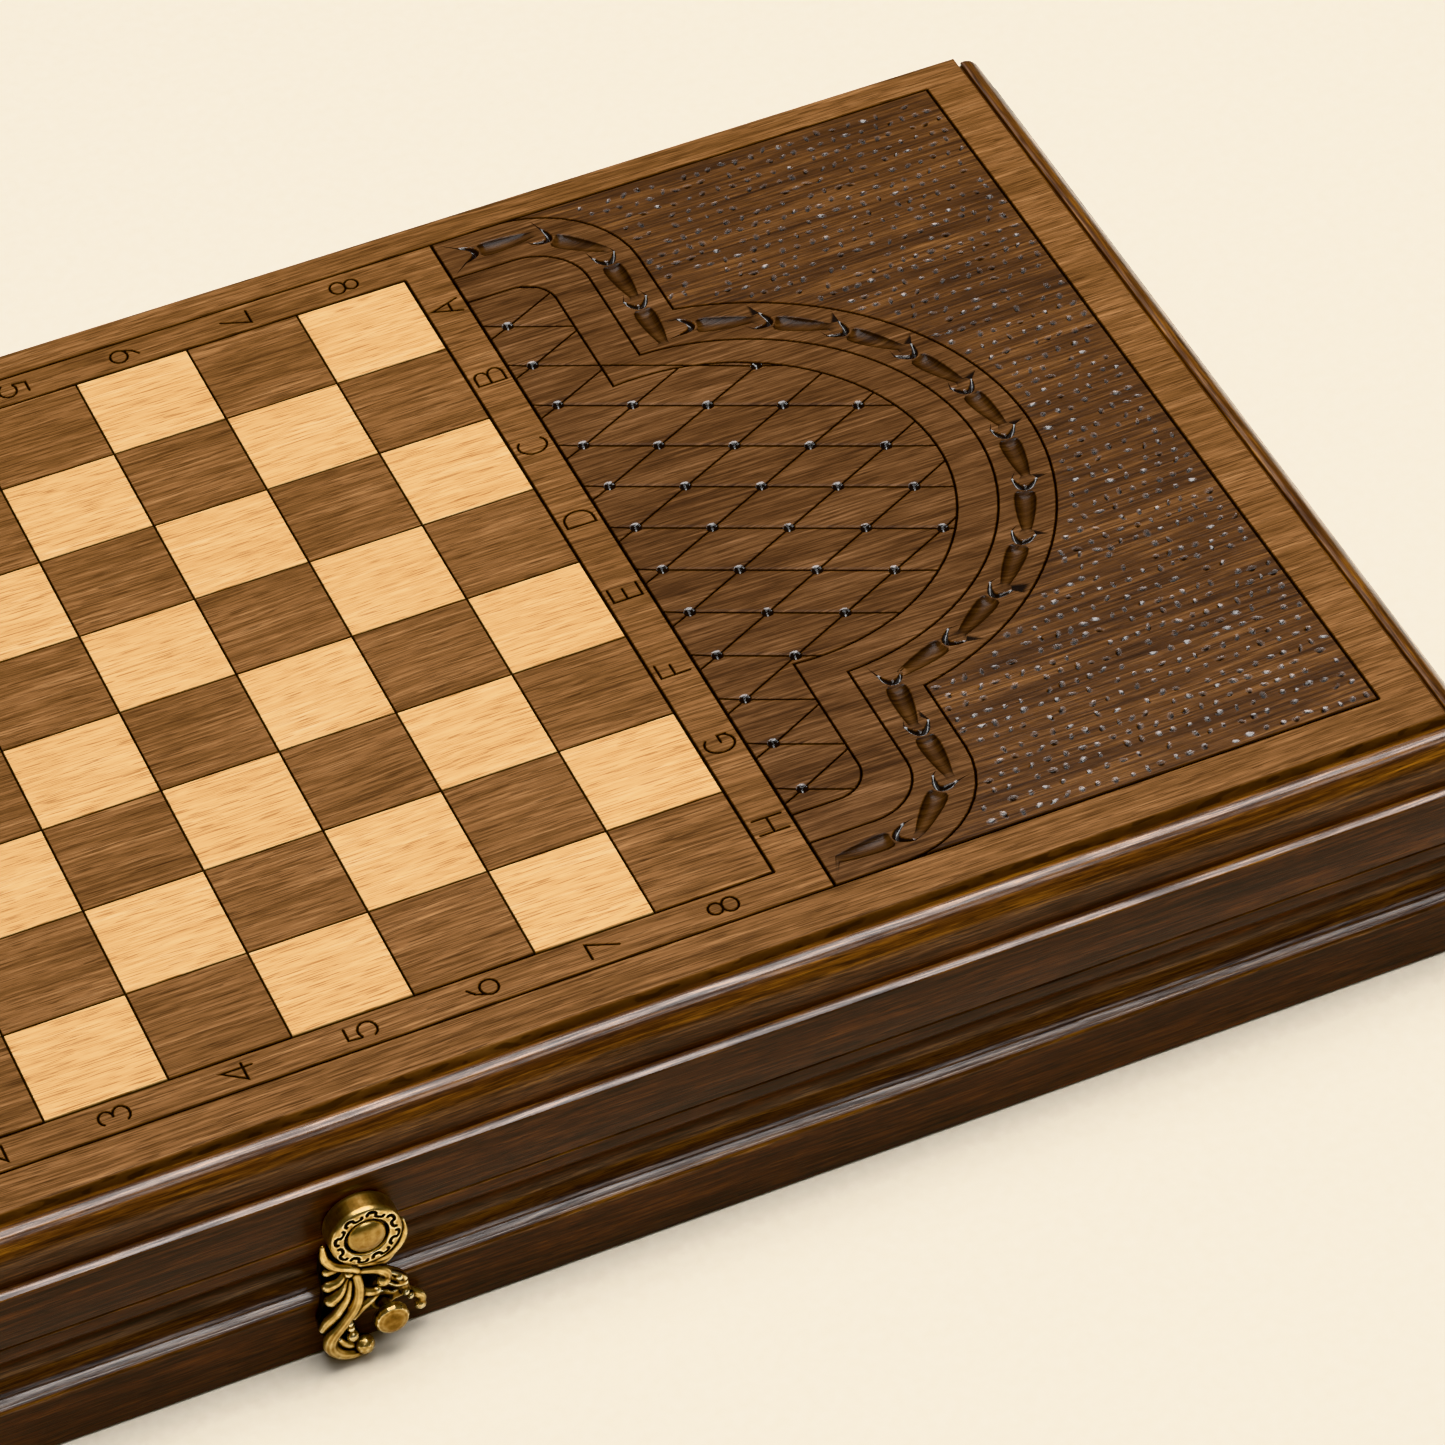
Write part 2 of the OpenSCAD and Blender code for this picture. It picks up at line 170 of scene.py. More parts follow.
# %% Beech
def beech(name, tones, fleck, *, across=False, roughness=0.36, coat=0.0, grain=1.0, bump=0.25,
          shade_colour="#070403", ground=False, shine=0.4, wiped_and_shaded=False, lying=False):
    """Varnished beech with its grain along X, or along Y when across is True.

    A lying board is cut so shallow that its grain does not change with depth.
    """
    material, tree, shader = new_material(name)
    place = add(tree, "ShaderNodeTexCoord").outputs["Object"]
    turn = math.radians(90 if across else 0)
    turned = add(tree, "ShaderNodeMapping", inputs={"Vector": place, "Rotation": (0, 0, turn)})

    # Slow waves bend the grain a little: a few mm of drift over 15 cm, so it stays near straight.
    wave = add(tree, "ShaderNodeTexNoise", inputs={
        "Vector": turned.outputs["Vector"], "Scale": 7.0, "Detail": 1.0})
    drift = add(tree, "ShaderNodeVectorMath", {"operation": "MULTIPLY_ADD"}, {
        0: wave.outputs["Color"], 1: (0.0, 0.007, 0.004), 2: turned.outputs["Vector"]})
    vector = drift.outputs["Vector"]

    def stretched(long_mm, wide_mm, detail, rough=0.5):
        """Noise whose grains are about long_mm by wide_mm."""
        scale = (1000 / long_mm, 1000 / wide_mm, (100 if lying else 1000) / wide_mm)
        mapped = add(tree, "ShaderNodeMapping", inputs={"Vector": vector, "Scale": scale})
        return add(tree, "ShaderNodeTexNoise", inputs={
            "Vector": mapped.outputs["Vector"], "Scale": 1.0, "Detail": detail,
            "Roughness": rough}).outputs["Fac"]

    band = stretched(90, 5, 2.0)
    streak = stretched(20, 0.75, 5.0, 0.70)
    mixed = add(tree, "ShaderNodeMath", {"operation": "MULTIPLY_ADD"}, {
        0: streak, 1: 0.74 * grain, 2: add(tree, "ShaderNodeMath", {"operation": "MULTIPLY_ADD"}, {
            0: band, 1: 0.26 * grain, 2: 0.5 - 0.5 * grain}).outputs[0]})
    wood = ramp(tree, mixed.outputs[0], tones)

    flecks = stretched(6.0, 0.17, 0.0)
    marks = add(tree, "ShaderNodeMapRange", {"interpolation_type": "SMOOTHSTEP"}, {
        "Value": flecks, "From Min": 0.57, "From Max": 0.65, "To Max": fleck[1]})
    wood = add(tree, "ShaderNodeMix", {"data_type": "RGBA"}, {
        "Factor": marks.outputs["Result"], "A": wood, "B": linear(fleck[0])}).outputs["Result"]

    if wiped_and_shaded:
        normal = add(tree, "ShaderNodeSeparateXYZ", inputs={
            "Vector": add(tree, "ShaderNodeTexCoord").outputs["Normal"]})
        facing_up = add(tree, "ShaderNodeMapRange", {"interpolation_type": "SMOOTHSTEP"}, {
            "Value": normal.outputs["Z"], "From Min": 0.02, "From Max": 0.42}).outputs["Result"]
        # Painted shade: faces that stand upright are multiplied darker than faces that look up.
        darker = add(tree, "ShaderNodeMix", {"data_type": "RGBA", "blend_type": "MULTIPLY"}, {
            "Factor": 1.0, "A": wood, "B": linear("#b0937a")}).outputs["Result"]
        wood = add(tree, "ShaderNodeMix", {"data_type": "RGBA"}, {
            "Factor": facing_up, "A": darker, "B": wood}).outputs["Result"]
        left_on = add(tree, "ShaderNodeMapRange", inputs={
            "Value": facing_up, "To Min": 0.08, "To Max": coat}).outputs["Result"]
        # The lacquer was wiped along the grain, so its shine is streaked too.
        brushed = add(tree, "ShaderNodeMapRange", {"interpolation_type": "SMOOTHSTEP"}, {
            "Value": streak, "From Min": 0.38, "From Max": 0.62, "To Min": 0.25}).outputs["Result"]
        streaked = add(tree, "ShaderNodeMath", {"operation": "MULTIPLY"}, {0: left_on, 1: brushed})
        tree.links.new(streaked.outputs[0], shader.inputs["Coat Weight"])

    # Painted shade: the cuts are darkened towards the dark shade colour, as far as the "cut" attribute
    # says, for the shade that falls inside grooves, notches and pits.
    shade_amount = add(tree, "ShaderNodeAttribute", {"attribute_name": "cut"}).outputs["Fac"]
    cut = add(tree, "ShaderNodeMapRange", {"interpolation_type": "SMOOTHSTEP"}, {
        "Value": shade_amount, "From Min": 0.02, "From Max": 0.42, "To Max": 0.96}).outputs["Result"]
    wood = add(tree, "ShaderNodeMix", {"data_type": "RGBA"}, {
        "Factor": cut, "A": wood, "B": linear(shade_colour)}).outputs["Result"]
    tree.links.new(wood, shader.inputs["Base Color"])

    height = add(tree, "ShaderNodeMath", {"operation": "MULTIPLY_ADD"}, {
        0: streak, 1: 1.0, 2: add(tree, "ShaderNodeMath", {"operation": "MULTIPLY"}, {
            0: marks.outputs["Result"], 1: -0.8}).outputs[0]}).outputs[0]
    if ground:
        knocks = add(tree, "ShaderNodeTexNoise", inputs={
            "Vector": place, "Scale": 1000 / 2.2, "Detail": 2.0})
        height = add(tree, "ShaderNodeMath", {"operation": "MULTIPLY_ADD"}, {
            0: knocks.outputs["Fac"], 1: 3.2, 2: height}).outputs[0]
    relief = add(tree, "ShaderNodeBump", inputs={
        "Strength": bump, "Distance": 0.12 * MM, "Height": height})
    tree.links.new(relief.outputs["Normal"], shader.inputs["Normal"])
    # Varnish pools in the cuts, so they are glossier than the sanded face.
    gloss = add(tree, "ShaderNodeMapRange", inputs={
        "Value": cut, "To Min": roughness, "To Max": 0.13})
    tree.links.new(gloss.outputs["Result"], shader.inputs["Roughness"])
    shader.inputs["Specular IOR Level"].default_value = shine
    if not wiped_and_shaded:
        shader.inputs["Coat Weight"].default_value = coat
    shader.inputs["Coat Roughness"].default_value = 0.11
    return material


DARK_TONES = [(0.32, "#3b2517"), (0.45, "#634428"), (0.54, "#7b5636"), (0.70, "#a47b52")]
# The ornament and ground tones are darker copies of the stained beech: painted shade for the light
# falling off over the ornament and the shade among its grooves and punch marks.
CARVED_SHADED_TONES = [(0.32, "#27180f"), (0.45, "#49311f"), (0.54, "#5f422b"), (0.70, "#846042")]
GROUND_SHADED_TONES = [(0.32, "#1e1109"), (0.45, "#3e2715"), (0.54, "#56381f"), (0.70, "#855d37")]
LIGHT_TONES = [(0.32, "#ad8355"), (0.45, "#c19968"), (0.54, "#caa472"), (0.70, "#d8b98c")]
RAIL_TONES = [(0.34, "#220f04"), (0.45, "#44260c"), (0.54, "#613b14"), (0.68, "#966322")]
FACE_TONES = [(0.32, "#201106"), (0.45, "#331d0c"), (0.54, "#432812"), (0.70, "#5f3c1a")]

carved_dark = beech("beech_dark_stained", DARK_TONES, ("#2a180b", 0.6), roughness=0.5, shine=0.12,
                    grain=0.85, lying=True)
carved_light = beech("beech_natural", LIGHT_TONES, ("#8f5c2c", 0.7), roughness=0.5, shine=0.12,
                     lying=True)
carved_figure = beech("beech_ornament", CARVED_SHADED_TONES, ("#1c0f07", 0.5), roughness=0.5, shine=0.12,
                      lying=True)
carved_ground = beech("beech_punched_ground", GROUND_SHADED_TONES, ("#1d1009", 0.5), ground=True, bump=0.4,
                      roughness=0.5, shine=0.2, lying=True)
# Varnish stands in the punch marks and notches, and glints there.
carved_mark = beech("beech_varnished_mark", GROUND_SHADED_TONES, ("#1d1009", 0.3), roughness=0.14, shine=0.65,
                    ground=True, bump=0.4, lying=True)
rail_long = beech("beech_rail_lengthwise", RAIL_TONES, ("#160a03", 0.6), coat=0.9, wiped_and_shaded=True, shine=0.3)
rail_side = beech("beech_rail_crosswise", RAIL_TONES, ("#160a03", 0.6), coat=0.9, wiped_and_shaded=True, shine=0.3,
                  across=True)
tray_wood = beech("beech_tray", DARK_TONES, ("#2f1b0d", 0.5), coat=0.3)
point_light = beech("beech_light_inlay", LIGHT_TONES, ("#94602d", 0.7), coat=0.3)
point_dark = beech("beech_dark_inlay", FACE_TONES, ("#170a03", 0.5), coat=0.3)
checker_light = beech("beech_light_checker", LIGHT_TONES, ("#94602d", 0.6), coat=0.8, roughness=0.3)
checker_dark = beech("beech_dark_checker", FACE_TONES, ("#170a03", 0.5), coat=0.8, roughness=0.3)
print("beech finishes ready")

# %% [markdown]
# ## Antique brass
# The latch is a zinc casting plated with brass, blackened, then rubbed back: hollows stay almost
# black, and everything that stands proud is warm gold. The mesh carries how proud each point is
# in an attribute named "proud", and the metal follows it.

# %% Metals, plastic and pips
def rubbed_brass(name):
    material, tree, shader = new_material(name)
    place = add(tree, "ShaderNodeTexCoord").outputs["Object"]
    proud = add(tree, "ShaderNodeAttribute", {"attribute_name": "proud"}).outputs["Fac"]
    # Tarnish is in patches 1 to 2 mm across, with fine casting grain of 0.3 mm.
    patches = add(tree, "ShaderNodeTexNoise", inputs={
        "Vector": place, "Scale": 1000 / 1.6, "Detail": 4.0})
    wear = add(tree, "ShaderNodeMath", {"operation": "MULTIPLY_ADD", "use_clamp": True}, {
        0: patches.outputs["Fac"], 1: 0.34, 2: add(tree, "ShaderNodeMath", {"operation": "ADD"}, {
            0: proud, 1: -0.17}).outputs[0]}).outputs[0]
    colour = ramp(tree, wear, [(0.16, "#060403"), (0.42, "#130c07"), (0.58, "#8a683a"),
                               (0.80, "#c9ad74"), (1.0, "#ebe0bc")])
    tree.links.new(colour, shader.inputs["Base Color"])
    rough = add(tree, "ShaderNodeMapRange", inputs={"Value": wear, "To Min": 0.46, "To Max": 0.24})
    tree.links.new(rough.outputs["Result"], shader.inputs["Roughness"])
    grain = add(tree, "ShaderNodeTexNoise", inputs={
        "Vector": place, "Scale": 1000 / 0.35, "Detail": 2.0})
    relief = add(tree, "ShaderNodeBump", inputs={
        "Strength": 0.2, "Distance": 0.05 * MM, "Height": grain.outputs["Fac"]})
    tree.links.new(relief.outputs["Normal"], shader.inputs["Normal"])
    shader.inputs["Metallic"].default_value = 1.0
    return material


def plated_brass(name):
    """Bright rolled brass with fine rolling lines along X and slight tarnish."""
    material, tree, shader = new_material(name)
    place = add(tree, "ShaderNodeTexCoord").outputs["Object"]
    lines = add(tree, "ShaderNodeTexNoise", inputs={"Scale": 1.0, "Detail": 3.0, "Vector": add(
        tree, "ShaderNodeMapping", inputs={
            "Vector": place, "Scale": (60, 4000, 4000)}).outputs["Vector"]})
    tarnish = add(tree, "ShaderNodeTexNoise", inputs={
        "Vector": place, "Scale": 1000 / 5, "Detail": 3.0})
    colour = ramp(tree, tarnish.outputs["Fac"], [(0.35, "#a07a38"), (0.55, "#c9a252"), (0.75, "#d9b868")])
    tree.links.new(colour, shader.inputs["Base Color"])
    rough = add(tree, "ShaderNodeMapRange", inputs={
        "Value": lines.outputs["Fac"], "To Min": 0.22, "To Max": 0.40})
    tree.links.new(rough.outputs["Result"], shader.inputs["Roughness"])
    shader.inputs["Metallic"].default_value = 1.0
    return material


def moulded_plastic(name, tones, roughness):
    """Cast resin with faint clouding inside, as dice have."""
    material, tree, shader = new_material(name)
    place = add(tree, "ShaderNodeTexCoord").outputs["Object"]
    cloud = add(tree, "ShaderNodeTexNoise", inputs={"Vector": place, "Scale": 1000 / 6, "Detail": 3.0})
    tree.links.new(ramp(tree, cloud.outputs["Fac"], tones), shader.inputs["Base Color"])
    scratch = add(tree, "ShaderNodeTexNoise", inputs={"Vector": place, "Scale": 1000 / 0.8})
    rough = add(tree, "ShaderNodeMapRange", inputs={
        "Value": scratch.outputs["Fac"], "To Min": roughness - 0.06, "To Max": roughness + 0.08})
    tree.links.new(rough.outputs["Result"], shader.inputs["Roughness"])
    return material


antique = rubbed_brass("antique_brass")
bright_brass = plated_brass("hinge_brass")
ivory = moulded_plastic("die_resin", [(0.3, "#e6dcc0"), (0.7, "#f3ecd8")], 0.22)
pip_black = moulded_plastic("pip_paint", [(0.3, "#0c0b0a"), (0.7, "#1b1917")], 0.45)
print("metals and resin ready")

# %% [markdown]
# ## Camera, floor and light
# The camera is far away with a long lens, as a catalogue picture is taken, so the case is hardly
# foreshortened. Places are in board squares from the middle of the board. A large soft box hangs
# straight above, and its reflection runs along each rounded moulding. A fainter one behind gives
# the flat steps their sheen, and a narrow one in front gives each cut edge that faces forward a
# thin bright line. The view transform is the neutral one made for products, which keeps wood and
# brass at their own colours.

# %% Camera and stage
board_centre = Vector((0, 0, TOP))
camera_place = board_centre + SQUARE * Vector((-8.678, -38.288, 36.411))
camera_target = board_centre + SQUARE * Vector((4.298, -2.276, 0))
CAMERA_ROLL = math.radians(-4.64)
FOCAL_MM = 165.6

camera_data = bpy.data.cameras.new("camera")
camera_data.lens = FOCAL_MM
camera_data.sensor_width = 36
camera_data.clip_end = 20
camera = new_object("camera", camera_data)
look = (camera_target - camera_place).to_track_quat("-Z", "Y").to_matrix().to_4x4()
camera.matrix_world = Matrix.Translation(camera_place) @ look @ Matrix.Rotation(CAMERA_ROLL, 4, "Z")
bpy.context.scene.camera = camera


def paper_floor():
    """A pale paper sweep with a faint tooth."""
    mesh = mesh_from("floor", [(-6, -6, 0), (6, -6, 0), (6, 6, 0), (-6, 6, 0)], [(0, 1, 2, 3)])
    floor = new_object("floor", mesh)
    floor.location.z = -0.0004
    material, tree, shader = new_material("paper")
    place = add(tree, "ShaderNodeTexCoord").outputs["Object"]
    tooth = add(tree, "ShaderNodeTexNoise", inputs={"Vector": place, "Scale": 400.0})
    tree.links.new(ramp(tree, tooth.outputs["Fac"], [(0.2, "#e4d9c6"), (0.8, "#ece2d1")]),
                   shader.inputs["Base Color"])
    shader.inputs["Roughness"].default_value = 0.8
    mesh.materials.append(material)


def soft_box(name, place, target, size, watts):
    data = bpy.data.lights.new(name, "AREA")
    data.shape = "RECTANGLE"
    data.size, data.size_y = size
    data.energy = watts
    light = new_object(name, data)
    light.location = place
    light.rotation_euler = (Vector(target) - Vector(place)).to_track_quat("-Z", "Y").to_euler()


paper_floor()
middle = (0.05, 0, 0.03)
soft_box("light_above", (0.22, 0.05, 1.4), middle, (1.1, 1.15), 36)
soft_box("light_back", (0.5, 1.15, 1.2), middle, (1.2, 0.6), 2.5)
soft_box("light_front", (0.30, -0.95, 1.25), middle, (1.1, 0.35), 4.0)
world = bpy.data.worlds.new("studio")
world.use_nodes = True
world.node_tree.nodes["Background"].inputs["Color"].default_value = linear("#e6e4e0")
world.node_tree.nodes["Background"].inputs["Strength"].default_value = 0.14
bpy.context.scene.world = world
bpy.context.scene.view_settings.view_transform = "Khronos PBR Neutral"

# %% [markdown]
# ## The carved lid panel
# The panel is one board, cut by a router. Every line is a V groove: two edges at the surface and
# one line at the bottom. Boolean cuts would be slow and fragile with hundreds of crossing
# grooves. Instead, all edges and bottom lines are drawn flat, as a plan. Blender's constrained
# triangulation joins them into one sheet, and each point is then pushed down to its depth. All
# of the plan is in board squares, from the middle of the board, and drawn for the right half;
# the left half is its mirror image.

# %% Plan of the straight lines
BOARD = 4.0                   # half of the eight squares
BAND_X, BAND_Y = 4.369, 4.35  # the line round the letters and numbers
FRAME_X = 9.07                # the line at each end of the lid
FINE, BOLD = 0.011, 0.017     # half widths of the grooves
grooves = []                  # each is (points, half width, depth in squares)


def groove(points, half_width=FINE, depth=None):
    grooves.append(([Vector(p) for p in points], half_width, depth or 2.0 * half_width))


def arc(cx, cy, radius, start, end, count):
    """Points on an arc, with its angles in degrees."""
    angles = [math.radians(start + (end - start) * i / count) for i in range(count + 1)]
    return [(cx + radius * math.cos(a), cy + radius * math.sin(a)) for a in angles]


for i in range(-4, 5):
    width = BOLD if abs(i) == 4 else FINE
    groove([(i, -BOARD), (i, BOARD)], width)
    groove([(-BOARD, i), (BOARD, i)], width)
for side in (-1, 1):
    groove([(side * BAND_X, -BAND_Y), (side * BAND_X, BAND_Y)], BOLD)
    groove([(side * FRAME_X, -BAND_Y), (side * FRAME_X, BAND_Y)], BOLD)
    groove([(-FRAME_X, side * BAND_Y), (FRAME_X, side * BAND_Y)], BOLD)
print("straight grooves:", len(grooves))

# %% [markdown]
# ## The ornament at each end
# Three nested outlines share one rule: start at the letter band, turn a round corner, run down,
# step out at a sharp corner, and follow a big arc to the other side. The inner one holds a
# trellis, and a chain of gouged husks runs between the outer two.

# %% Outlines of the ornament
def half_outline(start_x, top, turn, side_x, corner_y, centre_x):
    """Upper half of one outline: top edge, round corner, side, then a big arc to the axis."""
    radius = math.hypot(side_x - centre_x, corner_y)
    first = math.degrees(math.atan2(corner_y, side_x - centre_x))
    return ([(start_x, top)] + arc(side_x - turn, top - turn, turn, 90, 0, 10)
            + arc(centre_x, 0, radius, first, 0, 24))


def whole_outline(*sizes):
    upper = half_outline(*sizes)
    return upper + [(x, -y) for x, y in reversed(upper[:-1])]


outer_line = whole_outline(4.90, BAND_Y, 0.97, 5.915, 2.600, 5.36)
middle_line = whole_outline(BAND_X, 3.831, 0.50, 5.431, 2.180, 5.36)
inner_line = whole_outline(BAND_X, 3.483, 0.30, 5.077, 1.905, 5.28)
husk_path = whole_outline(4.60, 4.085, 0.74, 5.673, 2.390, 5.36)


def inside(x, y, outline):
    """True if the point is inside the closed outline."""
    hit = False
    for (ax, ay), (bx, by) in zip(outline, outline[1:] + outline[:1]):
        if (ay > y) != (by > y) and x < ax + (y - ay) / (by - ay) * (bx - ax):
            hit = not hit
    return hit


TRELLIS_X, TRELLIS_Y = 4.569, 3.035  # the first crossing
PITCH_X, PITCH_Y = 0.5628, 0.5712    # between columns, and down a column
SLOPE = PITCH_Y / 2 / PITCH_X
crossings = []
trellis = []
for family in (-1, 1):
    for step in range(-9, 22):
        y0 = TRELLIS_Y - step * PITCH_Y
        samples = [BAND_X + 0.002 + i * 0.004 for i in range(720)]
        run = [x for x in samples if inside(x, y0 + family * SLOPE * (x - TRELLIS_X), inner_line)]
        if len(run) > 8:
            trellis.append([(x, y0 + family * SLOPE * (x - TRELLIS_X)) for x in (run[0], run[-1])])
for column in range(5):
    for row in range(14):
        spot = (TRELLIS_X + column * PITCH_X, TRELLIS_Y - (row - column % 2 / 2) * PITCH_Y)
        if inside(*spot, inner_line):
            crossings.append(spot)
for side in (-1, 1):
    for line in (outer_line, middle_line, inner_line):
        groove([(side * x, y) for x, y in line], 0.013)
    for line in trellis:
        groove([(side * x, y) for x, y in line], FINE)
print("trellis lines:", len(trellis), "crossings:", len(crossings))

# %% [markdown]
# ## Letters and numbers
# Files A to H and ranks 1 to 8 stand beside the squares, as on any chess board. They are cut with
# the same V tool, so each is a few strokes on a grid of its own, 0.62 wide and 1 high. The two
# players sit at the ends of the lid, and each sees upright figures on the far and right side.

# %% Strokes of each figure
def bow(cx, cy, rx, ry, start, end, count=10):
    return [(cx + rx * x, cy + ry * y) for x, y in arc(0, 0, 1, start, end, count)]


STROKES = {
    "A": [[(0, 0), (0.31, 1), (0.62, 0)], [(0.12, 0.36), (0.50, 0.36)]],
    "B": [[(0.34, 1), (0, 1), (0, 0), (0.34, 0)], [(0, 0.53), (0.34, 0.53)],
          bow(0.34, 0.765, 0.22, 0.235, 90, -90), bow(0.34, 0.265, 0.28, 0.265, 90, -90)],
    "C": [bow(0.36, 0.5, 0.36, 0.5, 50, 310, 16)],
    "D": [[(0.24, 1), (0, 1), (0, 0), (0.24, 0)], bow(0.24, 0.5, 0.38, 0.5, 90, -90, 14)],
    "E": [[(0.56, 1), (0, 1), (0, 0), (0.56, 0)], [(0, 0.52), (0.46, 0.52)]],
    "F": [[(0.56, 1), (0, 1), (0, 0)], [(0, 0.52), (0.44, 0.52)]],
    "G": [bow(0.36, 0.5, 0.36, 0.5, 50, 335, 16), [(0.38, 0.44), (0.68, 0.44), (0.68, 0.16)]],
    "H": [[(0, 0), (0, 1)], [(0.6, 0), (0.6, 1)], [(0, 0.5), (0.6, 0.5)]],
    "1": [[(0.10, 0.78), (0.34, 1), (0.34, 0)]],
    "2": [bow(0.31, 0.72, 0.29, 0.28, 165, -35), [(0.53, 0.55), (0.02, 0), (0.60, 0)]],
    "3": [bow(0.29, 0.76, 0.25, 0.24, 150, -90), bow(0.29, 0.27, 0.29, 0.27, 90, -150)],
    "4": [[(0.46, 0), (0.46, 1), (0, 0.30), (0.62, 0.30)]],
    "5": [[(0.54, 1), (0.10, 1), (0.06, 0.56)], bow(0.28, 0.31, 0.30, 0.31, 130, -150)],
    "6": [bow(0.31, 0.30, 0.28, 0.30, 0, 360, 16), [(0.04, 0.36), (0.20, 0.80), (0.42, 1)]],
    "7": [[(0.02, 1), (0.60, 1), (0.24, 0)]],
    "8": [bow(0.31, 0.76, 0.22, 0.24, 0, 360, 14), bow(0.31, 0.27, 0.27, 0.27, 0, 360, 16)],
}
FIGURE_HIGH = 0.25
FIGURE_WIDE = 0.29  # of one unit across, so that the figures are a little broad


def carve_figure(figure, x, y, facing):
    """Cuts a figure whose top points to -X, or to +X when facing is 1."""
    for stroke in STROKES[figure]:
        points = [(x + facing * (v - 0.5) * FIGURE_HIGH, y - facing * (u - 0.31) * FIGURE_WIDE)
                  for u, v in stroke]
        groove(points, 0.013, 0.022)


for i in range(8):
    centre = 3.5 - i
    band = (BOARD + BAND_X) / 2
    carve_figure("ABCDEFGH"[i], band, centre, -1)
    carve_figure("ABCDEFGH"[i], -band, centre, 1)
    carve_figure("12345678"[i], -centre, -4.168, -1)
    carve_figure("12345678"[i], -centre, 4.172, 1)
print("grooves with figures:", len(grooves))

# %% [markdown]
# ## Husks, trellis pits and the punched ground
# A husk is a crescent notch with a tapering gouge cut behind it. Each crossing of the trellis has
# a small pit. The ground outside the ornament is punched all over in loose rows, which makes it
# sparkle. These marks are given as small patches of points with depths of their own, and with a
# painted shade from 0 to 1, which says how dark each point is painted for the shade inside the cut.

# %% Marks with their own depths
marks = []  # each is (points with depth and scorch, edges between them)
bowls = []  # each is (x, y, radius, depth), for pits that grooves run through
# How dark the bottom of each punch mark is painted: painted shade inside the mark.
PUNCH_PAINTED_SHADE = 0.6


def pit(x, y, long, wide, turn, depth, lean=0.0):
    """A small punched hollow whose deepest point may lie off its middle."""
    c, s = math.cos(turn), math.sin(turn)
    rim = [(x + c * long * u - s * wide * v, y + s * long * u + c * wide * v, 0.0, 0.0)
           for u, v in arc(0, 0, 1, 0, 360 * 6 / 7, 6)]
    deep = (x - s * lean * wide, y + c * lean * wide, depth, PUNCH_PAINTED_SHADE)
    edges = [(i, (i + 1) % 7) for i in range(7)] + [(i, 7) for i in range(7)]
    marks.append((rim + [deep], edges))


def bowl(x, y, radius, depth):
    """A round pit. Grooves cross it, so its depth is worked out later, at every point inside it."""
    points = [(u, v, 0.0, 0.0) for r in (radius, radius * 0.62, radius * 0.3)
              for u, v in arc(x, y, r, 0, 330, 11)]
    edges = [(12 * r + i, 12 * r + (i + 1) % 12) for r in range(3) for i in range(12)]
    marks.append((points, edges))
    bowls.append((x, y, radius, depth))


def patch(rows):
    """A grid of points with depths, joined along rows and columns."""
    wide = len(rows[0])
    points = [p for row in rows for p in row]
    edges = [(r * wide + c, r * wide + c + 1) for r in range(len(rows)) for c in range(wide - 1)]
    edges += [(r * wide + c, (r + 1) * wide + c) for r in range(len(rows) - 1) for c in range(wide)]
    marks.append((points, edges))


scoops = []  # outlines of the gouges, which are shaded smooth


def husk(x, y, direction, size, side):
    """A crescent notch, open backwards, and the gouge that leaves it."""
    along = Vector(direction).normalized()
    across = Vector((-along.y, along.x))

    def at(forward, sideways, depth, shade_here):
        p = Vector((x, y)) + along * forward + across * sideways
        return (side * p.x, p.y, depth, shade_here)

    notch = []
    for i in range(15):
        t = -1 + 2 * i / 14
        middle_of = Vector((0.080 - 0.120 * t * t, 0.104 * t))
        slope = Vector((-0.240 * t, 0.104)).normalized()
        thick = 0.034 * (1 - 0.72 * t * t)
        deep = 0.050 * (1 - t ** 4)
        row = []
        # The last number of each point is its painted shade, darkest along the bottom of the notch.
        for k, share in ((-1, 0.0), (-0.5, 0.75), (0, 1.0), (0.5, 0.75), (1, 0.0)):
            p = middle_of + Vector((slope.y, -slope.x)) * k * thick
            row.append(at(p.x, p.y, deep * share, min(1.0, 1.35 * share)))
        notch.append(row)
    patch(notch)
    rows = []
    for ahead_by, wide, deep in ((0.124, 0.072, 0.0), (0.136, 0.088, 0.030), (0.19, 0.098, 0.040),
                                 (0.27, 0.096, 0.042), (0.35, 0.088, 0.039), (0.43, 0.077, 0.032),
                                 (0.51, 0.062, 0.020), (0.59, 0.044, 0.0)):
        # The gouge is painted darker towards its steep sides: a painted shadow along each edge.
        rows.append([at(ahead_by * size, k * wide, deep * (1 - abs(k) ** 2.4), shade_amount)
                     for k, shade_amount in ((-1, 0.10), (-0.88, 0.38), (-0.62, 0.30), (-0.3, 0.23), (0, 0.20),
                                     (0.3, 0.23), (0.62, 0.30), (0.88, 0.38), (1, 0.10))])
    patch(rows)
    scoops.append([(p[0], p[1]) for p in [r[0] for r in rows] + [r[-1] for r in reversed(rows)]])


def path_length(path):
    return sum(math.dist(a, b) for a, b in zip(path, path[1:]))


def point_on(path, distance):
    """Point and direction at a distance along a path."""
    for a, b in zip(path, path[1:]):
        step = math.dist(a, b)
        if distance <= step:
            part = distance / step
            return (a[0] + (b[0] - a[0]) * part, a[1] + (b[1] - a[1]) * part), (b[0] - a[0], b[1] - a[1])
        distance -= step
    return path[-1], (path[-1][0] - path[-2][0], path[-1][1] - path[-2][1])


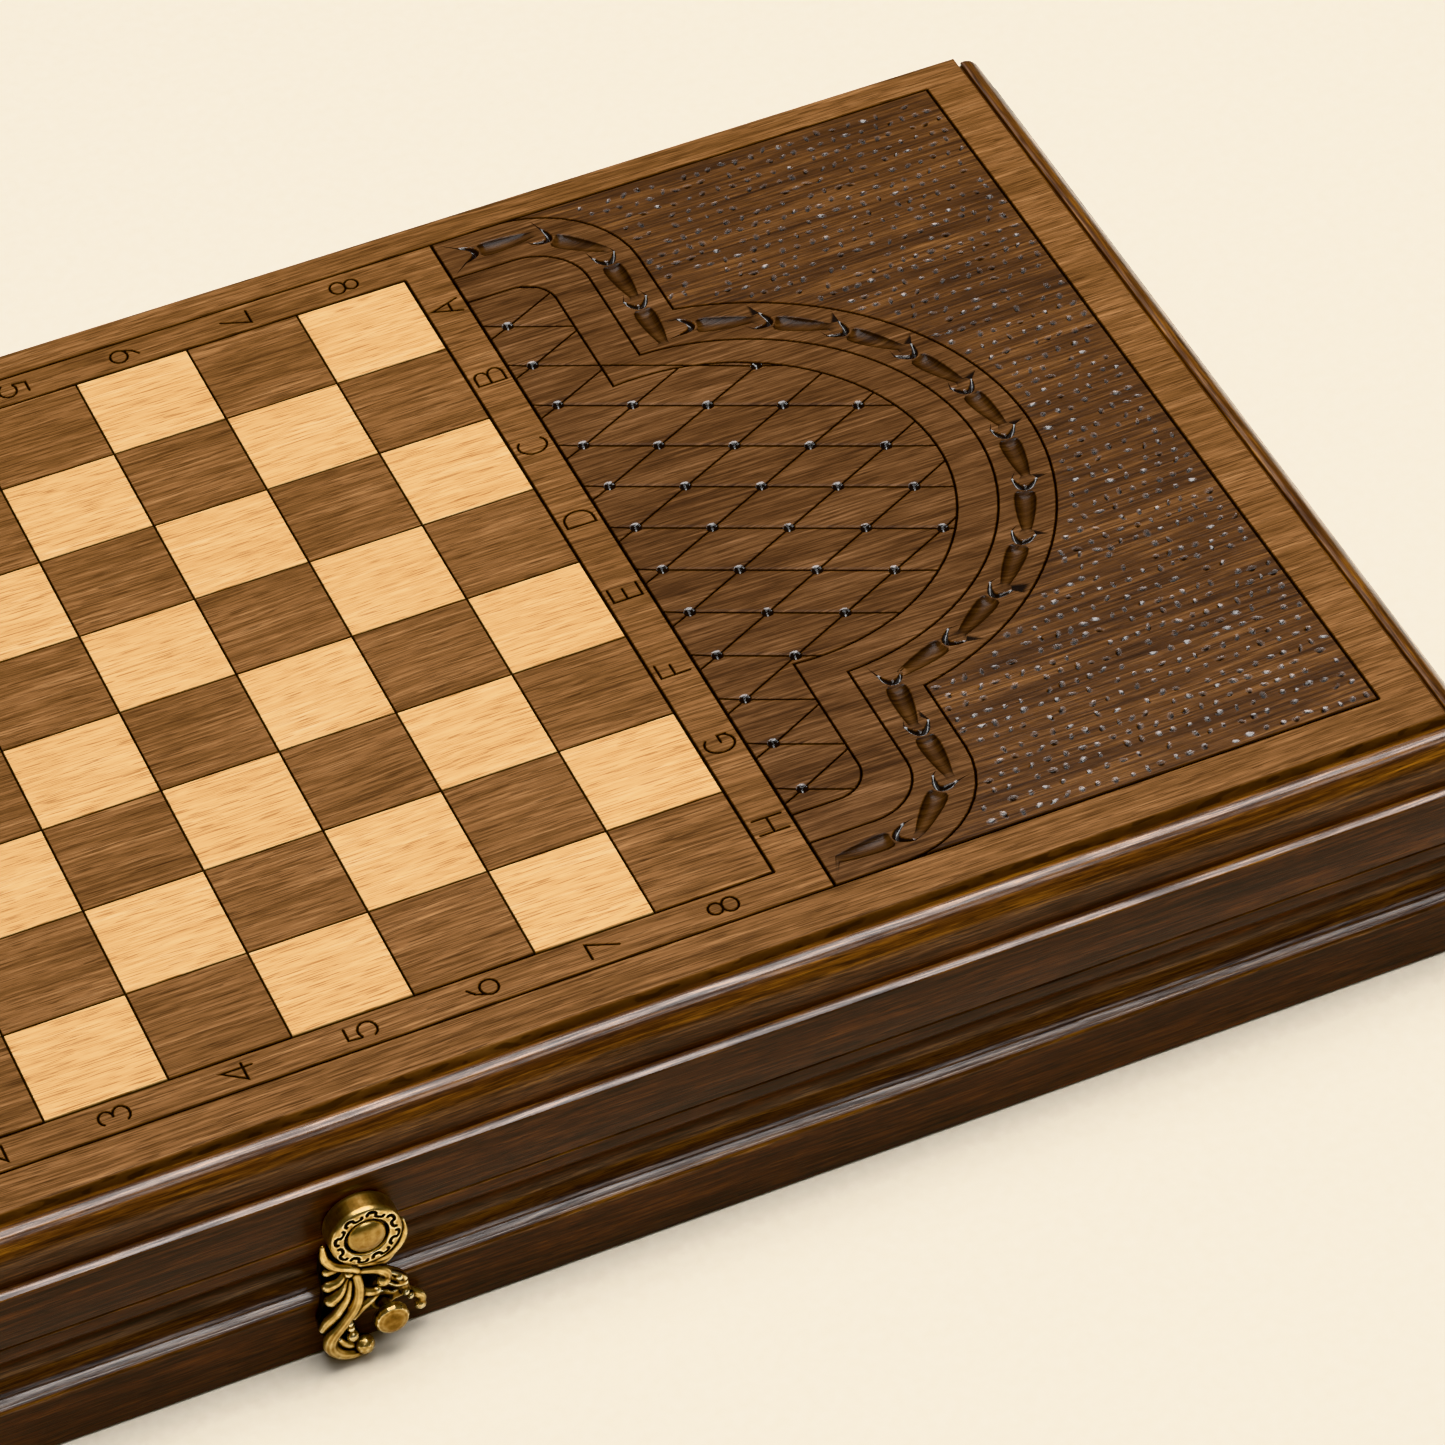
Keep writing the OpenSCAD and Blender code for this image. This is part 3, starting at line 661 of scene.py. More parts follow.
HUSKS = 18
husk_pitch = (path_length(husk_path) - 0.49) / (HUSKS - 1)
for side in (-1, 1):
    for i in range(HUSKS):
        spot, _ = point_on(husk_path, i * husk_pitch)
        ahead, _ = point_on(husk_path, i * husk_pitch + 0.42)
        husk(*spot, (ahead[0] - spot[0], ahead[1] - spot[1]), 1.0, side)
    for x, y in crossings:
        bowl(side * x, y, 0.056, 0.055)
print("husks:", 2 * HUSKS, "of pitch", round(husk_pitch * SQUARE / MM, 1), "mm")

# %% The punched ground
outer_closed = [(BAND_X, BAND_Y)] + outer_line + [(BAND_X, -BAND_Y)]
outer_points = np.array(outer_line)
chance = random.Random(11)
punches = []
for side in (-1, 1):
    y = -BAND_Y + 0.10
    while y < BAND_Y - 0.06:
        x = 5.0 + chance.random() * 0.1
        while x < FRAME_X - 0.06:
            px, py = x, y + chance.gauss(0, 0.014)
            clear = np.hypot(outer_points[:, 0] - px, outer_points[:, 1] - py).min() > 0.09
            in_frame = abs(py) < BAND_Y - 0.06
            if in_frame and clear and not inside(px, py, outer_closed) and chance.random() > 0.13:
                punches.append((side * px, py))
            x += chance.uniform(0.105, 0.155)
        y += chance.uniform(0.125, 0.165)
for x, y in punches:
    pit(x, y, chance.uniform(0.030, 0.054), chance.uniform(0.021, 0.036),
        chance.uniform(-0.5, 1.9), chance.uniform(0.014, 0.026), chance.uniform(-0.7, 0.5))
print("punch marks:", len(punches))

# %% [markdown]
# ## From plan to board
# The plan now becomes a sheet of triangles. Each point takes the depth of its mark, or of the
# groove it lies in. The sheet's faces are sorted by finish: stained board, natural squares,
# punched ground, ornament, and varnished marks. Last, a small round edge, the sides and the
# underside close the board.

# %% Triangulate the plan
def offset_line(points, distance):
    """A copy of a line moved sideways, with mitred corners."""
    moved = []
    for i, p in enumerate(points):
        before = (p - points[i - 1]).normalized() if i else None
        after = (points[i + 1] - p).normalized() if i + 1 < len(points) else None
        if before is None or after is None:
            run = after or before
            moved.append(p + Vector((-run.y, run.x)) * distance)
            continue
        a, b = Vector((-before.y, before.x)), Vector((-after.y, after.x))
        mitre = (a + b).normalized()
        moved.append(p + mitre * (distance / max(mitre.dot(a), 0.35)))
    return moved


EDGE = 0.5 * MM / SQUARE  # the worn edge of the board
low_x, high_x = panel_low[0] / SQUARE + EDGE, panel_high[0] / SQUARE - EDGE
low_y, high_y = panel_low[1] / SQUARE + EDGE, panel_high[1] / SQUARE - EDGE
plan_points = [Vector(p) for p in ((low_x, low_y), (high_x, low_y), (high_x, high_y), (low_x, high_y))]
plan_depths = [0.0] * 4
plan_painted_shade = [0.0] * 4
plan_edges = [(0, 1), (1, 2), (2, 3), (3, 0)]
for points, half_width, depth in grooves:
    closed = (points[0] - points[-1]).length < 1e-6
    for shift in (-half_width, 0, half_width):
        line = offset_line(points, shift)
        if closed:
            line = line[:-1]
        first = len(plan_points)
        plan_points += line
        plan_depths += [0.0] * len(line)
        plan_painted_shade += [0.0] * len(line)
        plan_edges += [(first + i, first + i + 1) for i in range(len(line) - 1)]
        if closed:
            plan_edges.append((first + len(line) - 1, first))
    if closed:
        continue
    # Each open end is closed by a blunt tip, so that the bottom line rises to the surface there.
    last = len(plan_points)
    count = len(points)
    for here, inner, at_end in ((points[0], points[1], 0), (points[-1], points[-2], count - 1)):
        tip = here + (here - inner).normalized() * half_width
        plan_edges += [(last - 3 * count + at_end, len(plan_points)),
                       (len(plan_points), last - count + at_end)]
        plan_points.append(tip)
        plan_depths.append(0.0)
        plan_painted_shade.append(0.0)
for points, edges in marks:
    first = len(plan_points)
    plan_points += [Vector(p[:2]) for p in points]
    plan_depths += [p[2] for p in points]
    plan_painted_shade += [p[3] for p in points]
    plan_edges += [(first + a, first + b) for a, b in edges]
flat, _, triangles, origins, _, _ = delaunay_2d_cdt(plan_points, plan_edges, [], 0, 1e-5)
flat = np.array([(p.x, p.y) for p in flat])
print("plan:", len(plan_points), "points, sheet:", len(flat), "points,", len(triangles), "triangles")

# %% Depth and painted shade of each point
own = np.array([max((plan_depths[i] for i in group), default=0.0) for group in origins])
cut = own.copy()
# How dark each point is painted: painted shade in grooves, marks and pits.
painted_shade = np.array([max((plan_painted_shade[i] for i in group), default=0.0) for group in origins])
for points, half_width, depth in grooves:
    for a, b in zip(points, points[1:]):
        low = np.minimum(a, b) - half_width
        high = np.maximum(a, b) + half_width
        near = np.nonzero(np.all((flat >= low) & (flat <= high), axis=1))[0]
        if not len(near):
            continue
        run = np.array(b - a)
        local = flat[near] - np.array(a)
        part = np.clip(local @ run / max(run @ run, 1e-12), 0, 1)
        distance = np.hypot(*(local - part[:, None] * run).T)
        share = np.clip(1 - distance / half_width, 0, 1)
        cut[near] = np.maximum(cut[near], share * depth)
        painted_shade[near] = np.maximum(painted_shade[near], share)

varnished = own > 0
for x, y, radius, depth in bowls:
    share = np.clip(1 - np.hypot(flat[:, 0] - x, flat[:, 1] - y) / radius, 0, 1)
    cut = np.maximum(cut, depth * share ** 0.6)
    painted_shade = np.maximum(painted_shade, np.clip(share * 3, 0, 1))
    varnished |= share > 0.05

heights = TOP - cut * SQUARE
verts = [(x * SQUARE, y * SQUARE, z) for (x, y), z in zip(flat, heights)]
corners = [max(range(len(flat)), key=lambda i, s=s: s[0] * flat[i][0] + s[1] * flat[i][1])
           for s in ((-1, -1), (1, -1), (1, 1), (-1, 1))]
faces = [tuple(t) for t in triangles]
STAINED, NATURAL, GROUND, ORNAMENT, MARK = range(5)  # in the order of the panel's materials
kinds = []
for triangle in faces:
    x, y = flat[list(triangle)].mean(axis=0)
    if max(abs(x), abs(y)) < BOARD:
        kinds.append(NATURAL if (math.floor(x) + math.floor(y)) % 2 == 0 else STAINED)
    elif abs(y) > BAND_Y or not BAND_X < abs(x) < FRAME_X:
        kinds.append(STAINED)
    else:
        kinds.append(ORNAMENT if inside(abs(x), y, outer_closed) else GROUND)
print("deepest cut", round(cut.max() * SQUARE / MM, 2), "mm")

# %% Close the board and give it its finishes
ring = corners
for step in range(1, 5):
    a = math.radians(90 * step / 4)
    out, down = EDGE * SQUARE * math.sin(a), EDGE * SQUARE * (1 - math.cos(a))
    new_ring = []
    for corner, (sx, sy) in zip(corners, ((-1, -1), (1, -1), (1, 1), (-1, 1))):
        x, y, z = verts[corner]
        new_ring.append(len(verts))
        verts.append((x + sx * out, y + sy * out, z - down))
    faces += [(ring[i], new_ring[i], new_ring[(i + 1) % 4], ring[(i + 1) % 4]) for i in range(4)]
    ring = new_ring
under = [len(verts) + i for i in range(4)]
verts += [(verts[i][0], verts[i][1], panel_low[2]) for i in ring]
faces += [(ring[i], under[i], under[(i + 1) % 4], ring[(i + 1) % 4]) for i in range(4)]
faces.append(tuple(reversed(under)))
kinds += [STAINED] * (len(faces) - len(kinds))

panel_mesh = bpy.data.meshes.new("carved_panel")
panel_mesh.from_pydata(verts, [], faces)
for material in (carved_dark, carved_light, carved_ground, carved_figure, carved_mark):
    panel_mesh.materials.append(material)

# Gouges, notches, pits and punch marks were cut by round tools, so only they are shaded smooth.
middles = np.array([flat[list(t)].mean(axis=0) for t in triangles])
smooth = np.zeros(len(faces), dtype=bool)
for outline in scoops:
    low, high = np.min(outline, axis=0), np.max(outline, axis=0)
    for i in np.nonzero(np.all((middles > low) & (middles < high), axis=1))[0]:
        smooth[i] = inside(*middles[i], outline)
for i, triangle in enumerate(triangles):
    if kinds[i] in (GROUND, ORNAMENT) and not smooth[i] and varnished[list(triangle)].any():
        smooth[i] = True
        kinds[i] = MARK
panel_mesh.polygons.foreach_set("material_index", kinds)
panel_mesh.polygons.foreach_set("use_smooth", smooth)
# The attribute named "cut" carries the painted shade: how dark each point in a cut is painted.
attribute = panel_mesh.attributes.new("cut", "FLOAT", "POINT")
attribute.data.foreach_set("value", np.append(painted_shade * 0.96, np.zeros(len(verts) - len(painted_shade))))
panel_mesh.update()
panel = new_object("carved_panel", panel_mesh)
finish_piece(panel, "lid", ["lid_panel"])

# %% [markdown]
# ## Moulded rails
# Each side is one length of moulding, planed to a section and mitred at the front corners. A
# section swept along a straight line is all it needs. The section is drawn with real arcs, and
# each sharp arris gets a tiny round, because varnished edges catch light there.

# %% Sections of the rails
def ease(points, radius=0.35 * MM, count=3):
    """Rounds each corner of a closed section that is marked True."""
    result = []
    for i, (x, z, soft) in enumerate(points):
        p = Vector((x, z))
        if not soft:
            result.append(p)
            continue
        before = Vector(points[i - 1][:2])
        after = Vector(points[(i + 1) % len(points)][:2])
        reach = min(radius, (before - p).length * 0.45, (after - p).length * 0.45)
        start = p + (before - p).normalized() * reach
        end = p + (after - p).normalized() * reach
        for k in range(count + 1):
            t = k / count
            result.append(start * (1 - t) ** 2 + p * 2 * t * (1 - t) + end * t ** 2)
    return result


def arc_section(cx, cz, rx, rz, start, end, count):
    return [(cx + rx * u, cz + rz * v, False) for u, v in arc(0, 0, 1, start, end, count)]


lid_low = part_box("lid_front_rail")[0]
base_low, base_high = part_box("base_front_rail")
PANEL_EDGE_Y = panel_low[1]
OUT = PANEL_EDGE_Y - lid_low[1]
LEDGE = 4 * MM
lid_rim, base_rim = lid_low[2], base_high[2]
crest, step_down = TOP - 1.9 * MM, TOP - 11.8 * MM
WORN_IN, WORN_DOWN = 1.1 * MM, 0.5 * MM  # how far hands have rounded the lid's step
lid_section = ease(
    [(-LEDGE, lid_rim, False), (OUT, lid_rim, True), (OUT, step_down - WORN_DOWN, True),
     (OUT - WORN_IN, step_down - 0.08 * MM, False), (7.75 * MM, step_down, False)]
    + arc_section(2.3 * MM, step_down, 5.4 * MM, crest - step_down, 0, 90, 20)
    + [(1.6 * MM, crest, True), (1.6 * MM, crest - 1 * MM, False), (0, crest - 1 * MM, False),
       (0, panel_low[2], False), (-LEDGE, panel_low[2], False)])

cove_x, cove_z, cove_r = OUT + 0.9 * MM, 20.4 * MM, 6.4 * MM
round_x, round_z, round_r = OUT - 3 * MM, 28.9 * MM, 3 * MM
lip_x, lip_z = 7.68 * MM, 14.93 * MM    # where the cove ends and a shallow slope starts
roll_r, roll_z = 1.5 * MM, 13.0 * MM    # the round at the foot of that slope
cove_start = math.degrees(math.atan2(cove_z - round_z, cove_x - round_x))
lip_end = math.degrees(math.atan2(lip_z - cove_z, lip_x - cove_x))
base_section = ease(
    [(1 * MM, 4 * MM, False), (-LEDGE, 4 * MM, False), (-LEDGE, base_rim, False), (OUT, base_rim, True)]
    + arc_section(round_x, round_z, round_r, round_r, 0, cove_start, 10)
    + arc_section(cove_x, cove_z, cove_r, cove_r, 180 + cove_start, 360 + lip_end, 22)
    + arc_section(OUT - roll_r, roll_z, roll_r, roll_r, 70, 0, 10)
    + [(OUT, 0, True), (1 * MM, 0, False)])
print("lid section", len(lid_section), "points, base section", len(base_section), "points")


# %% Sweep the front and side rails
def rail(name, section, side, node, material):
    """Sweeps a section along the front (side 0), right (1) or left (-1), with mitred corners."""
    corner_x, corner_y = panel_high[0], PANEL_EDGE_Y
    ends = []
    for end in (0, 1):
        ring_points = []
        for out, z in section:
            if side == 0:
                ring_points.append(((2 * end - 1) * (corner_x + out), corner_y - out, z))
            else:
                ring_points.append((side * (corner_x + out), panel_high[1] if end else corner_y - out, z))
        ends.append(ring_points)
    count = len(section)
    steps = 24  # cross cuts keep the long faces from being needles
    rings = [[tuple(a + (b - a) * k / steps for a, b in zip(p, q)) for p, q in zip(*ends)]
             for k in range(steps + 1)]
    points = [p for ring_points in rings for p in ring_points]
    skin = [(k * count + i, k * count + (i + 1) % count, (k + 1) * count + (i + 1) % count,
             (k + 1) * count + i) for k in range(steps) for i in range(count)]
    skin += [tuple(range(count)), tuple(range(steps * count, (steps + 1) * count))]
    mesh = mesh_from(name, points, skin)
    face_outwards(mesh)
    smooth_by_angle(mesh, 24)
    obj = new_object(name, mesh)
    finish_piece(obj, "lid" if section is lid_section else "base", [node], [material])


for label, section in (("lid", lid_section), ("base", base_section)):
    rail(f"{label}_front_moulding", section, 0, f"{label}_front_rail", rail_long)
    rail(f"{label}_right_moulding", section, 1, f"{label}_right_rail", rail_side)
    rail(f"{label}_left_moulding", section, -1, f"{label}_left_rail", rail_side)

# %% [markdown]
# ## The hook, a rubbed brass casting
# The real hook is carved in wax, cast and plated. Ridges, lobes and beads melt into one another.
# Tapered rods, beads and a plate are laid where the ridges run, fused with a fine voxel remesh
# and smoothed a little, which gives the soft joins of a casting. Plan sizes are in millimetres:
# x along the case, z up, and "off", the distance off the front face.

# %% Rods, beads and turned shapes
FRONT = base_low[1] / MM


def off_face(x, z, off):
    """A point on the front of the case, from millimetres to the frame."""
    return Vector((x, FRONT - off, z)) * MM


def smooth_path(points, between=6):
    """A curve through given points, with their radii."""
    ends = [points[0]] + list(points) + [points[-1]]
    result = []
    for p0, p1, p2, p3 in zip(ends, ends[1:], ends[2:], ends[3:]):
        for k in range(between):
            t = k / between
            result.append([0.5 * (2 * b + (c - a) * t + (2 * a - 5 * b + 4 * c - d) * t * t
                                  + (3 * b - a - 3 * c + d) * t ** 3)
                           for a, b, c, d in zip(p0, p1, p2, p3)])
    return result + [list(points[-1])]


def rod(work, points, sides=10):
    """A round rod along (x, z, off, radius) points, with rounded ends."""
    path = smooth_path(points)
    rings = []
    for i, (x, z, off, radius) in enumerate(path):
        before, after = path[max(i - 1, 0)], path[min(i + 1, len(path) - 1)]
        run = (off_face(*after[:3]) - off_face(*before[:3])).normalized()
        side = run.cross(Vector((0, 1, 0))).normalized()
        up = side.cross(run)
        centre = off_face(x, z, off)
        rings.append([work.verts.new(centre + radius * MM * (math.cos(a) * side + math.sin(a) * up))
                      for a in (2 * math.pi * k / sides for k in range(sides))])
    for a, b in zip(rings, rings[1:]):
        for k in range(sides):
            work.faces.new((a[k], a[(k + 1) % sides], b[(k + 1) % sides], b[k]))
    work.faces.new(rings[0])
    work.faces.new(rings[-1])
    for x, z, off, radius in (path[0], path[-1]):
        bead(work, x, z, off, radius)


def bead(work, x, z, off, radius):
    place = Matrix.Translation(off_face(x, z, off))
    bmesh.ops.create_icosphere(work, subdivisions=2, radius=radius * MM, matrix=place)


def plate(work, outline, back, front):
    """A flat plate with a given outline, between two distances off the face."""
    rings = [[work.verts.new(off_face(x, z, off)) for x, z in outline] for off in (back, front)]
    count = len(outline)
    for k in range(count):
        work.faces.new((rings[0][k], rings[0][(k + 1) % count], rings[1][(k + 1) % count], rings[1][k]))
    work.faces.new(rings[0])
    work.faces.new(rings[1])


def turned(work, x, z, profile, sides=64):
    """Turns (radius, off) points about an axis that leaves the face; a closed ring or a solid."""
    rings = []
    for radius, off in profile:
        if radius < 1e-6:
            rings.append([work.verts.new(off_face(x, z, off))])
            continue
        angles = [2 * math.pi * k / sides for k in range(sides)]
        rings.append([work.verts.new(off_face(x + radius * math.cos(a), z + radius * math.sin(a), off))
                      for a in angles])
    hollow = all(len(ring_verts) > 1 for ring_verts in rings)
    for a, b in zip(rings, rings[1:] + ([rings[0]] if hollow else [])):
        for k in range(sides):
            quad = [a[k % len(a)], a[(k + 1) % len(a)], b[(k + 1) % len(b)], b[k % len(b)]]
            quad = list(dict.fromkeys(quad))
            work.faces.new(quad)


def cast(name, build, voxel=0.2 * MM, soften=3):
    """Fuses what build() draws into one softened casting."""
    work = bmesh.new()
    build(work)
    bmesh.ops.recalc_face_normals(work, faces=work.faces)
    rough = bpy.data.meshes.new(name + "_parts")
    work.to_mesh(rough)
    work.free()
    parts = new_object(name + "_parts", rough)
    remesh = parts.modifiers.new("fuse", "REMESH")
    remesh.mode, remesh.voxel_size, remesh.use_smooth_shade = "VOXEL", voxel, True
    soft = parts.modifiers.new("soften", "SMOOTH")
    soft.factor, soft.iterations = 0.5, soften
    mesh = bpy.data.meshes.new_from_object(parts.evaluated_get(bpy.context.evaluated_depsgraph_get()))
    bpy.data.objects.remove(parts)
    mesh.name = name
    return new_object(name, mesh)


def points_of(mesh):
    flat_list = np.empty(len(mesh.vertices) * 3)
    mesh.vertices.foreach_get("co", flat_list)
    return flat_list.reshape(-1, 3)


def measure_proud(mesh, rounds=10, scale=0.16 * MM, darker=None):
    """Stores 0 for hollows to 1 for ridges, from how far each point is off its smoothed place."""
    co = points_of(mesh)
    edges = np.empty(len(mesh.edges) * 2, dtype=int)
    mesh.edges.foreach_get("vertices", edges)
    a, b = edges.reshape(-1, 2).T
    count = np.bincount(a, minlength=len(co)) + np.bincount(b, minlength=len(co))
    blurred = co.copy()
    for _ in range(rounds):
        total = np.zeros_like(co)
        np.add.at(total, a, blurred[b])
        np.add.at(total, b, blurred[a])
        blurred = 0.5 * blurred + 0.5 * total / count[:, None]
    normals = np.empty(len(co) * 3)
    mesh.vertices.foreach_get("normal", normals)
    lift = ((co - blurred) * normals.reshape(-1, 3)).sum(axis=1)
    proud = np.clip(0.55 + lift / scale, 0, 1)
    if darker is not None:
        proud *= 1 - darker
    mesh.attributes.new("proud", "FLOAT", "POINT").data.foreach_set("value", proud)


# %% Model the hook
PIVOT_Z, BOSS_R = 34.0, 7.5
BOSS_PROFILE = [(1.6, 0.4), (7.0, 0.4), (7.4, 0.8), (7.5, 1.4), (7.5, 5.1), (7.3, 5.7), (6.8, 6.05),
                (6.4, 6.1), (5.3, 6.1), (4.8, 5.95), (4.6, 5.6), (4.6, 4.5), (1.6, 4.5)]
ARM_OUTLINE = [(-7.0, 33), (-8.8, 29), (-9.6, 24), (-9.4, 18.5), (-10.0, 15), (-11.2, 11), (-11.0, 7.6),
               (-9.4, 4.8), (-7.2, 2.8), (-5, 2.0), (-3.4, 2.2), (-3.4, 5.2), (-4.2, 8), (-4.2, 11.6),
               (-2.6, 14.2), (0.4, 15.6), (1.0, 17.6), (2.8, 18.4), (3.7, 20), (3.4, 23), (5.0, 25.8),
               (6.8, 30), (6.8, 33)]
# Ridges as (x, z, off, radius), from the knot under the boss outwards.
HOOK_RIDGES = [
    [(-3.0, 24.0, 4.0, 0.9), (-2.9, 20.6, 4.5, 0.95), (-4.0, 16.6, 4.6, 1.05), (-6.8, 12.8, 4.5, 1.15),
     (-9.4, 9.8, 4.3, 1.25), (-10.2, 6.8, 4.0, 1.3), (-8.8, 4.0, 3.9, 1.2), (-6.2, 2.4, 3.8, 1.05),
     (-4.2, 2.4, 3.7, 1.0)],
    [(-4.4, 22.2, 3.8, 0.7), (-5.6, 18.8, 4.2, 0.8), (-7.8, 15.4, 4.0, 0.9), (-9.8, 13.0, 3.4, 0.95),
     (-10.9, 10.8, 2.8, 0.8)],
    [(-4.6, 23.6, 3.6, 0.6), (-6.6, 20.4, 4.0, 0.9), (-8.6, 18.6, 3.3, 1.25)],
    [(-4.4, 25.0, 3.6, 0.7), (-6.6, 23.2, 4.0, 0.9), (-8.6, 22.3, 3.2, 1.35)],
    [(-4.2, 26.4, 3.8, 0.7), (-6.2, 26.8, 4.2, 0.9), (-8.4, 26.2, 3.4, 1.25)],
    [(-8.6, 33.2, 3.8, 0.6), (-8.6, 30, 4.0, 1.0), (-7.0, 27.6, 4.3, 1.05), (-4.4, 26.2, 4.5, 0.95),
     (-2.6, 24.8, 4.4, 0.8)],
    [(7.7, 34.2, 4.6, 0.5), (7.5, 31.0, 5.0, 0.95), (5.8, 28.2, 5.0, 1.1), (3.2, 26.6, 4.8, 1.05),
     (0.8, 26.2, 4.5, 0.8)],
    [(-1.8, 26.2, 4.4, 0.8), (0.6, 25.7, 4.3, 1.0), (3.2, 24.9, 3.8, 1.1), (5.2, 25.4, 3.4, 0.8)],
    [(-2.8, 24.4, 4.0, 0.8), (-1.0, 24.4, 4.4, 1.0), (1.4, 23.6, 4.5, 1.15), (2.9, 21.8, 4.3, 1.2),
     (2.2, 20.2, 4.0, 1.2)],
    [(-3.0, 19.4, 3.6, 0.7), (-1.4, 18.2, 3.8, 0.85), (0.2, 17.4, 3.6, 0.9)],
    [(-4.6, 12.2, 3.6, 0.7), (-3.2, 14.4, 3.9, 0.9), (-1.0, 15.8, 3.9, 0.85), (0.4, 16.4, 3.5, 0.7)],
    [(-8.2, 6.8, 3.3, 0.65), (-7.0, 5.0, 3.4, 0.7), (-5.4, 4.0, 3.4, 0.6)],
]
HOOK_BEADS = [(-5.6, 10.6, 3.6, 0.7), (-5.5, 9.2, 3.6, 0.75), (-5.4, 7.0, 3.6, 1.15),
              (-3.3, 3.5, 3.7, 1.9), (-4.4, 24.6, 4.4, 0.9), (2.2, 20.2, 4.2, 1.4), (0.6, 17.6, 3.7, 0.9)]


def bolder(x, z, off, radius):
    """The relief stands higher and thicker towards the jaw, but stays behind the screw's dome."""
    lower = min(max((28 - z) / 10, 0), 1)
    thick = radius * (1 + 0.16 * lower)
    return x, z, min(off + 1.25 * lower, 7.0 - thick), thick


def build_hook(work):
    turned(work, 0, PIVOT_Z, BOSS_PROFILE)
    # The plate is ridged, so it starts under the boss and stays behind the relief.
    below = [(x, min(z, 28.6)) for x, z in ARM_OUTLINE if z < 32]
    plate(work, below, 0.5, 2.7)
    for ridge in HOOK_RIDGES:
        rod(work, [bolder(*p) for p in ridge])
    for one in HOOK_BEADS:
        bead(work, *bolder(*one))


hook = cast("cast_hook", build_hook)


def ring_scrolls():
    """The engraved S scrolls round the boss, eight of them, as points in the plane of its face."""
    lines = []
    for i in range(8):
        middle_angle = math.radians(22.5 + 45 * i)
        curve = []
        for k in range(13):
            s = -1 + 2 * k / 12
            radius = 6.0 + 0.62 * math.sin(math.pi * s)
            a = middle_angle + math.radians(17) * (s - 0.16 * math.sin(2 * math.pi * s))
            curve.append((radius * math.cos(a), PIVOT_Z + radius * math.sin(a)))
        lines.append(curve)
    return lines


def engrave(mesh, lines, reach, depth):
    """Presses lines into faces that stand about 6 mm off the case; returns how dark each point is."""
    co = points_of(mesh)
    plane = co[:, [0, 2]] / MM
    level = FRONT - co[:, 1] / MM
    nearest = np.full(len(co), 9.0)
    for line in lines:
        for a, b in zip(np.array(line), np.array(line)[1:]):
            run = b - a
            part = np.clip((plane - a) @ run / (run @ run), 0, 1)
            nearest = np.minimum(nearest, np.hypot(*(plane - a - part[:, None] * run).T))
    strength = np.clip(1 - nearest / reach, 0, 1) * (level > 5.4)
    co[:, 1] += strength * depth * MM
    mesh.vertices.foreach_set("co", co.ravel())
    mesh.update()
    return np.clip(strength * 2.2, 0, 1)


lines_on_ring = engrave(hook.data, ring_scrolls(), 0.42, 0.35)
# The plating stayed black wherever the polishing wheel could not reach, down on the plate.
reach_off = FRONT - points_of(hook.data)[:, 1] / MM
below_boss = np.hypot(points_of(hook.data)[:, 0] / MM,
                      points_of(hook.data)[:, 2] / MM - PIVOT_Z) > BOSS_R + 0.2
unreached = np.clip((4.5 - reach_off) / 0.9, 0, 1) * below_boss
measure_proud(hook.data, darker=np.maximum(lines_on_ring, 0.93 * unreached))
finish_piece(hook, "hook", ["latch_hook"], [antique])

# %% [markdown]
# ## Pivot screw and catch
# The screw has a plain domed head, turned and rubbed bright. The catch is a pin with a flat round
# head, ground in facets, and a small curled leaf cast beside it. The hook's jaw closes beside the
# pin, and swings up and away from it.

# %% Model the screw and the catch
def build_screw(work):
    dome = [(4.0 * math.cos(a), 5.3 + 1.9 * math.sin(a)) for a in
            (math.radians(90 * k / 10) for k in range(11))]
    turned(work, 0, PIVOT_Z, [(0, -10), (1.5, -10), (1.5, 4.9), (3.7, 4.9), (4.0, 5.1)] + dome[1:-1]
           + [(0, 7.2)], 48)


CATCH_X, CATCH_Z, HEAD_R = 2.6, 9.4, 3.6
CATCH_RIDGES = [
    [(3.0, 19.0, 1.4, 0.9), (4.8, 17.2, 1.6, 1.3), (6.4, 15.2, 1.8, 1.5), (7.0, 12.6, 1.7, 1.2),
     (7.6, 10.6, 1.6, 1.1), (9.0, 9.6, 1.8, 1.0), (10.2, 8.2, 2.0, 1.0), (9.8, 6.6, 2.0, 1.1)],
    [(3.6, 15.8, 2.4, 0.4), (5.2, 14.6, 2.7, 0.55), (7.2, 14.3, 2.6, 0.7)],
    [(4.4, 18.4, 2.4, 0.4), (6.0, 17.2, 2.8, 0.5), (7.2, 15.6, 2.8, 0.6)],
]
CATCH_BEADS = [(6.0, 16.6, 2.8, 0.9), (7.0, 11.6, 2.7, 0.85), (7.8, 10.2, 2.8, 0.8), (9.7, 6.4, 2.2, 1.3)]


def build_catch(work):
    turned(work, CATCH_X, CATCH_Z, [(0, -6), (1.2, -6), (1.2, 0), (2.6, 0.1), (2.6, 0.8), (1.4, 1.2),
                                    (1.3, 4.5), (2.8, 4.6), (HEAD_R, 5.1), (HEAD_R, 6.3),
                                    (3.3, 6.9), (2.4, 7.15), (0, 7.2)], 14)
    plate(work, [(2.6, 8.2), (8, 8.8), (8, 11), (2.6, 10.8)], 0.1, 1.0)
    for ridge in CATCH_RIDGES:
        rod(work, ridge)
    for one in CATCH_BEADS:
        bead(work, *one)


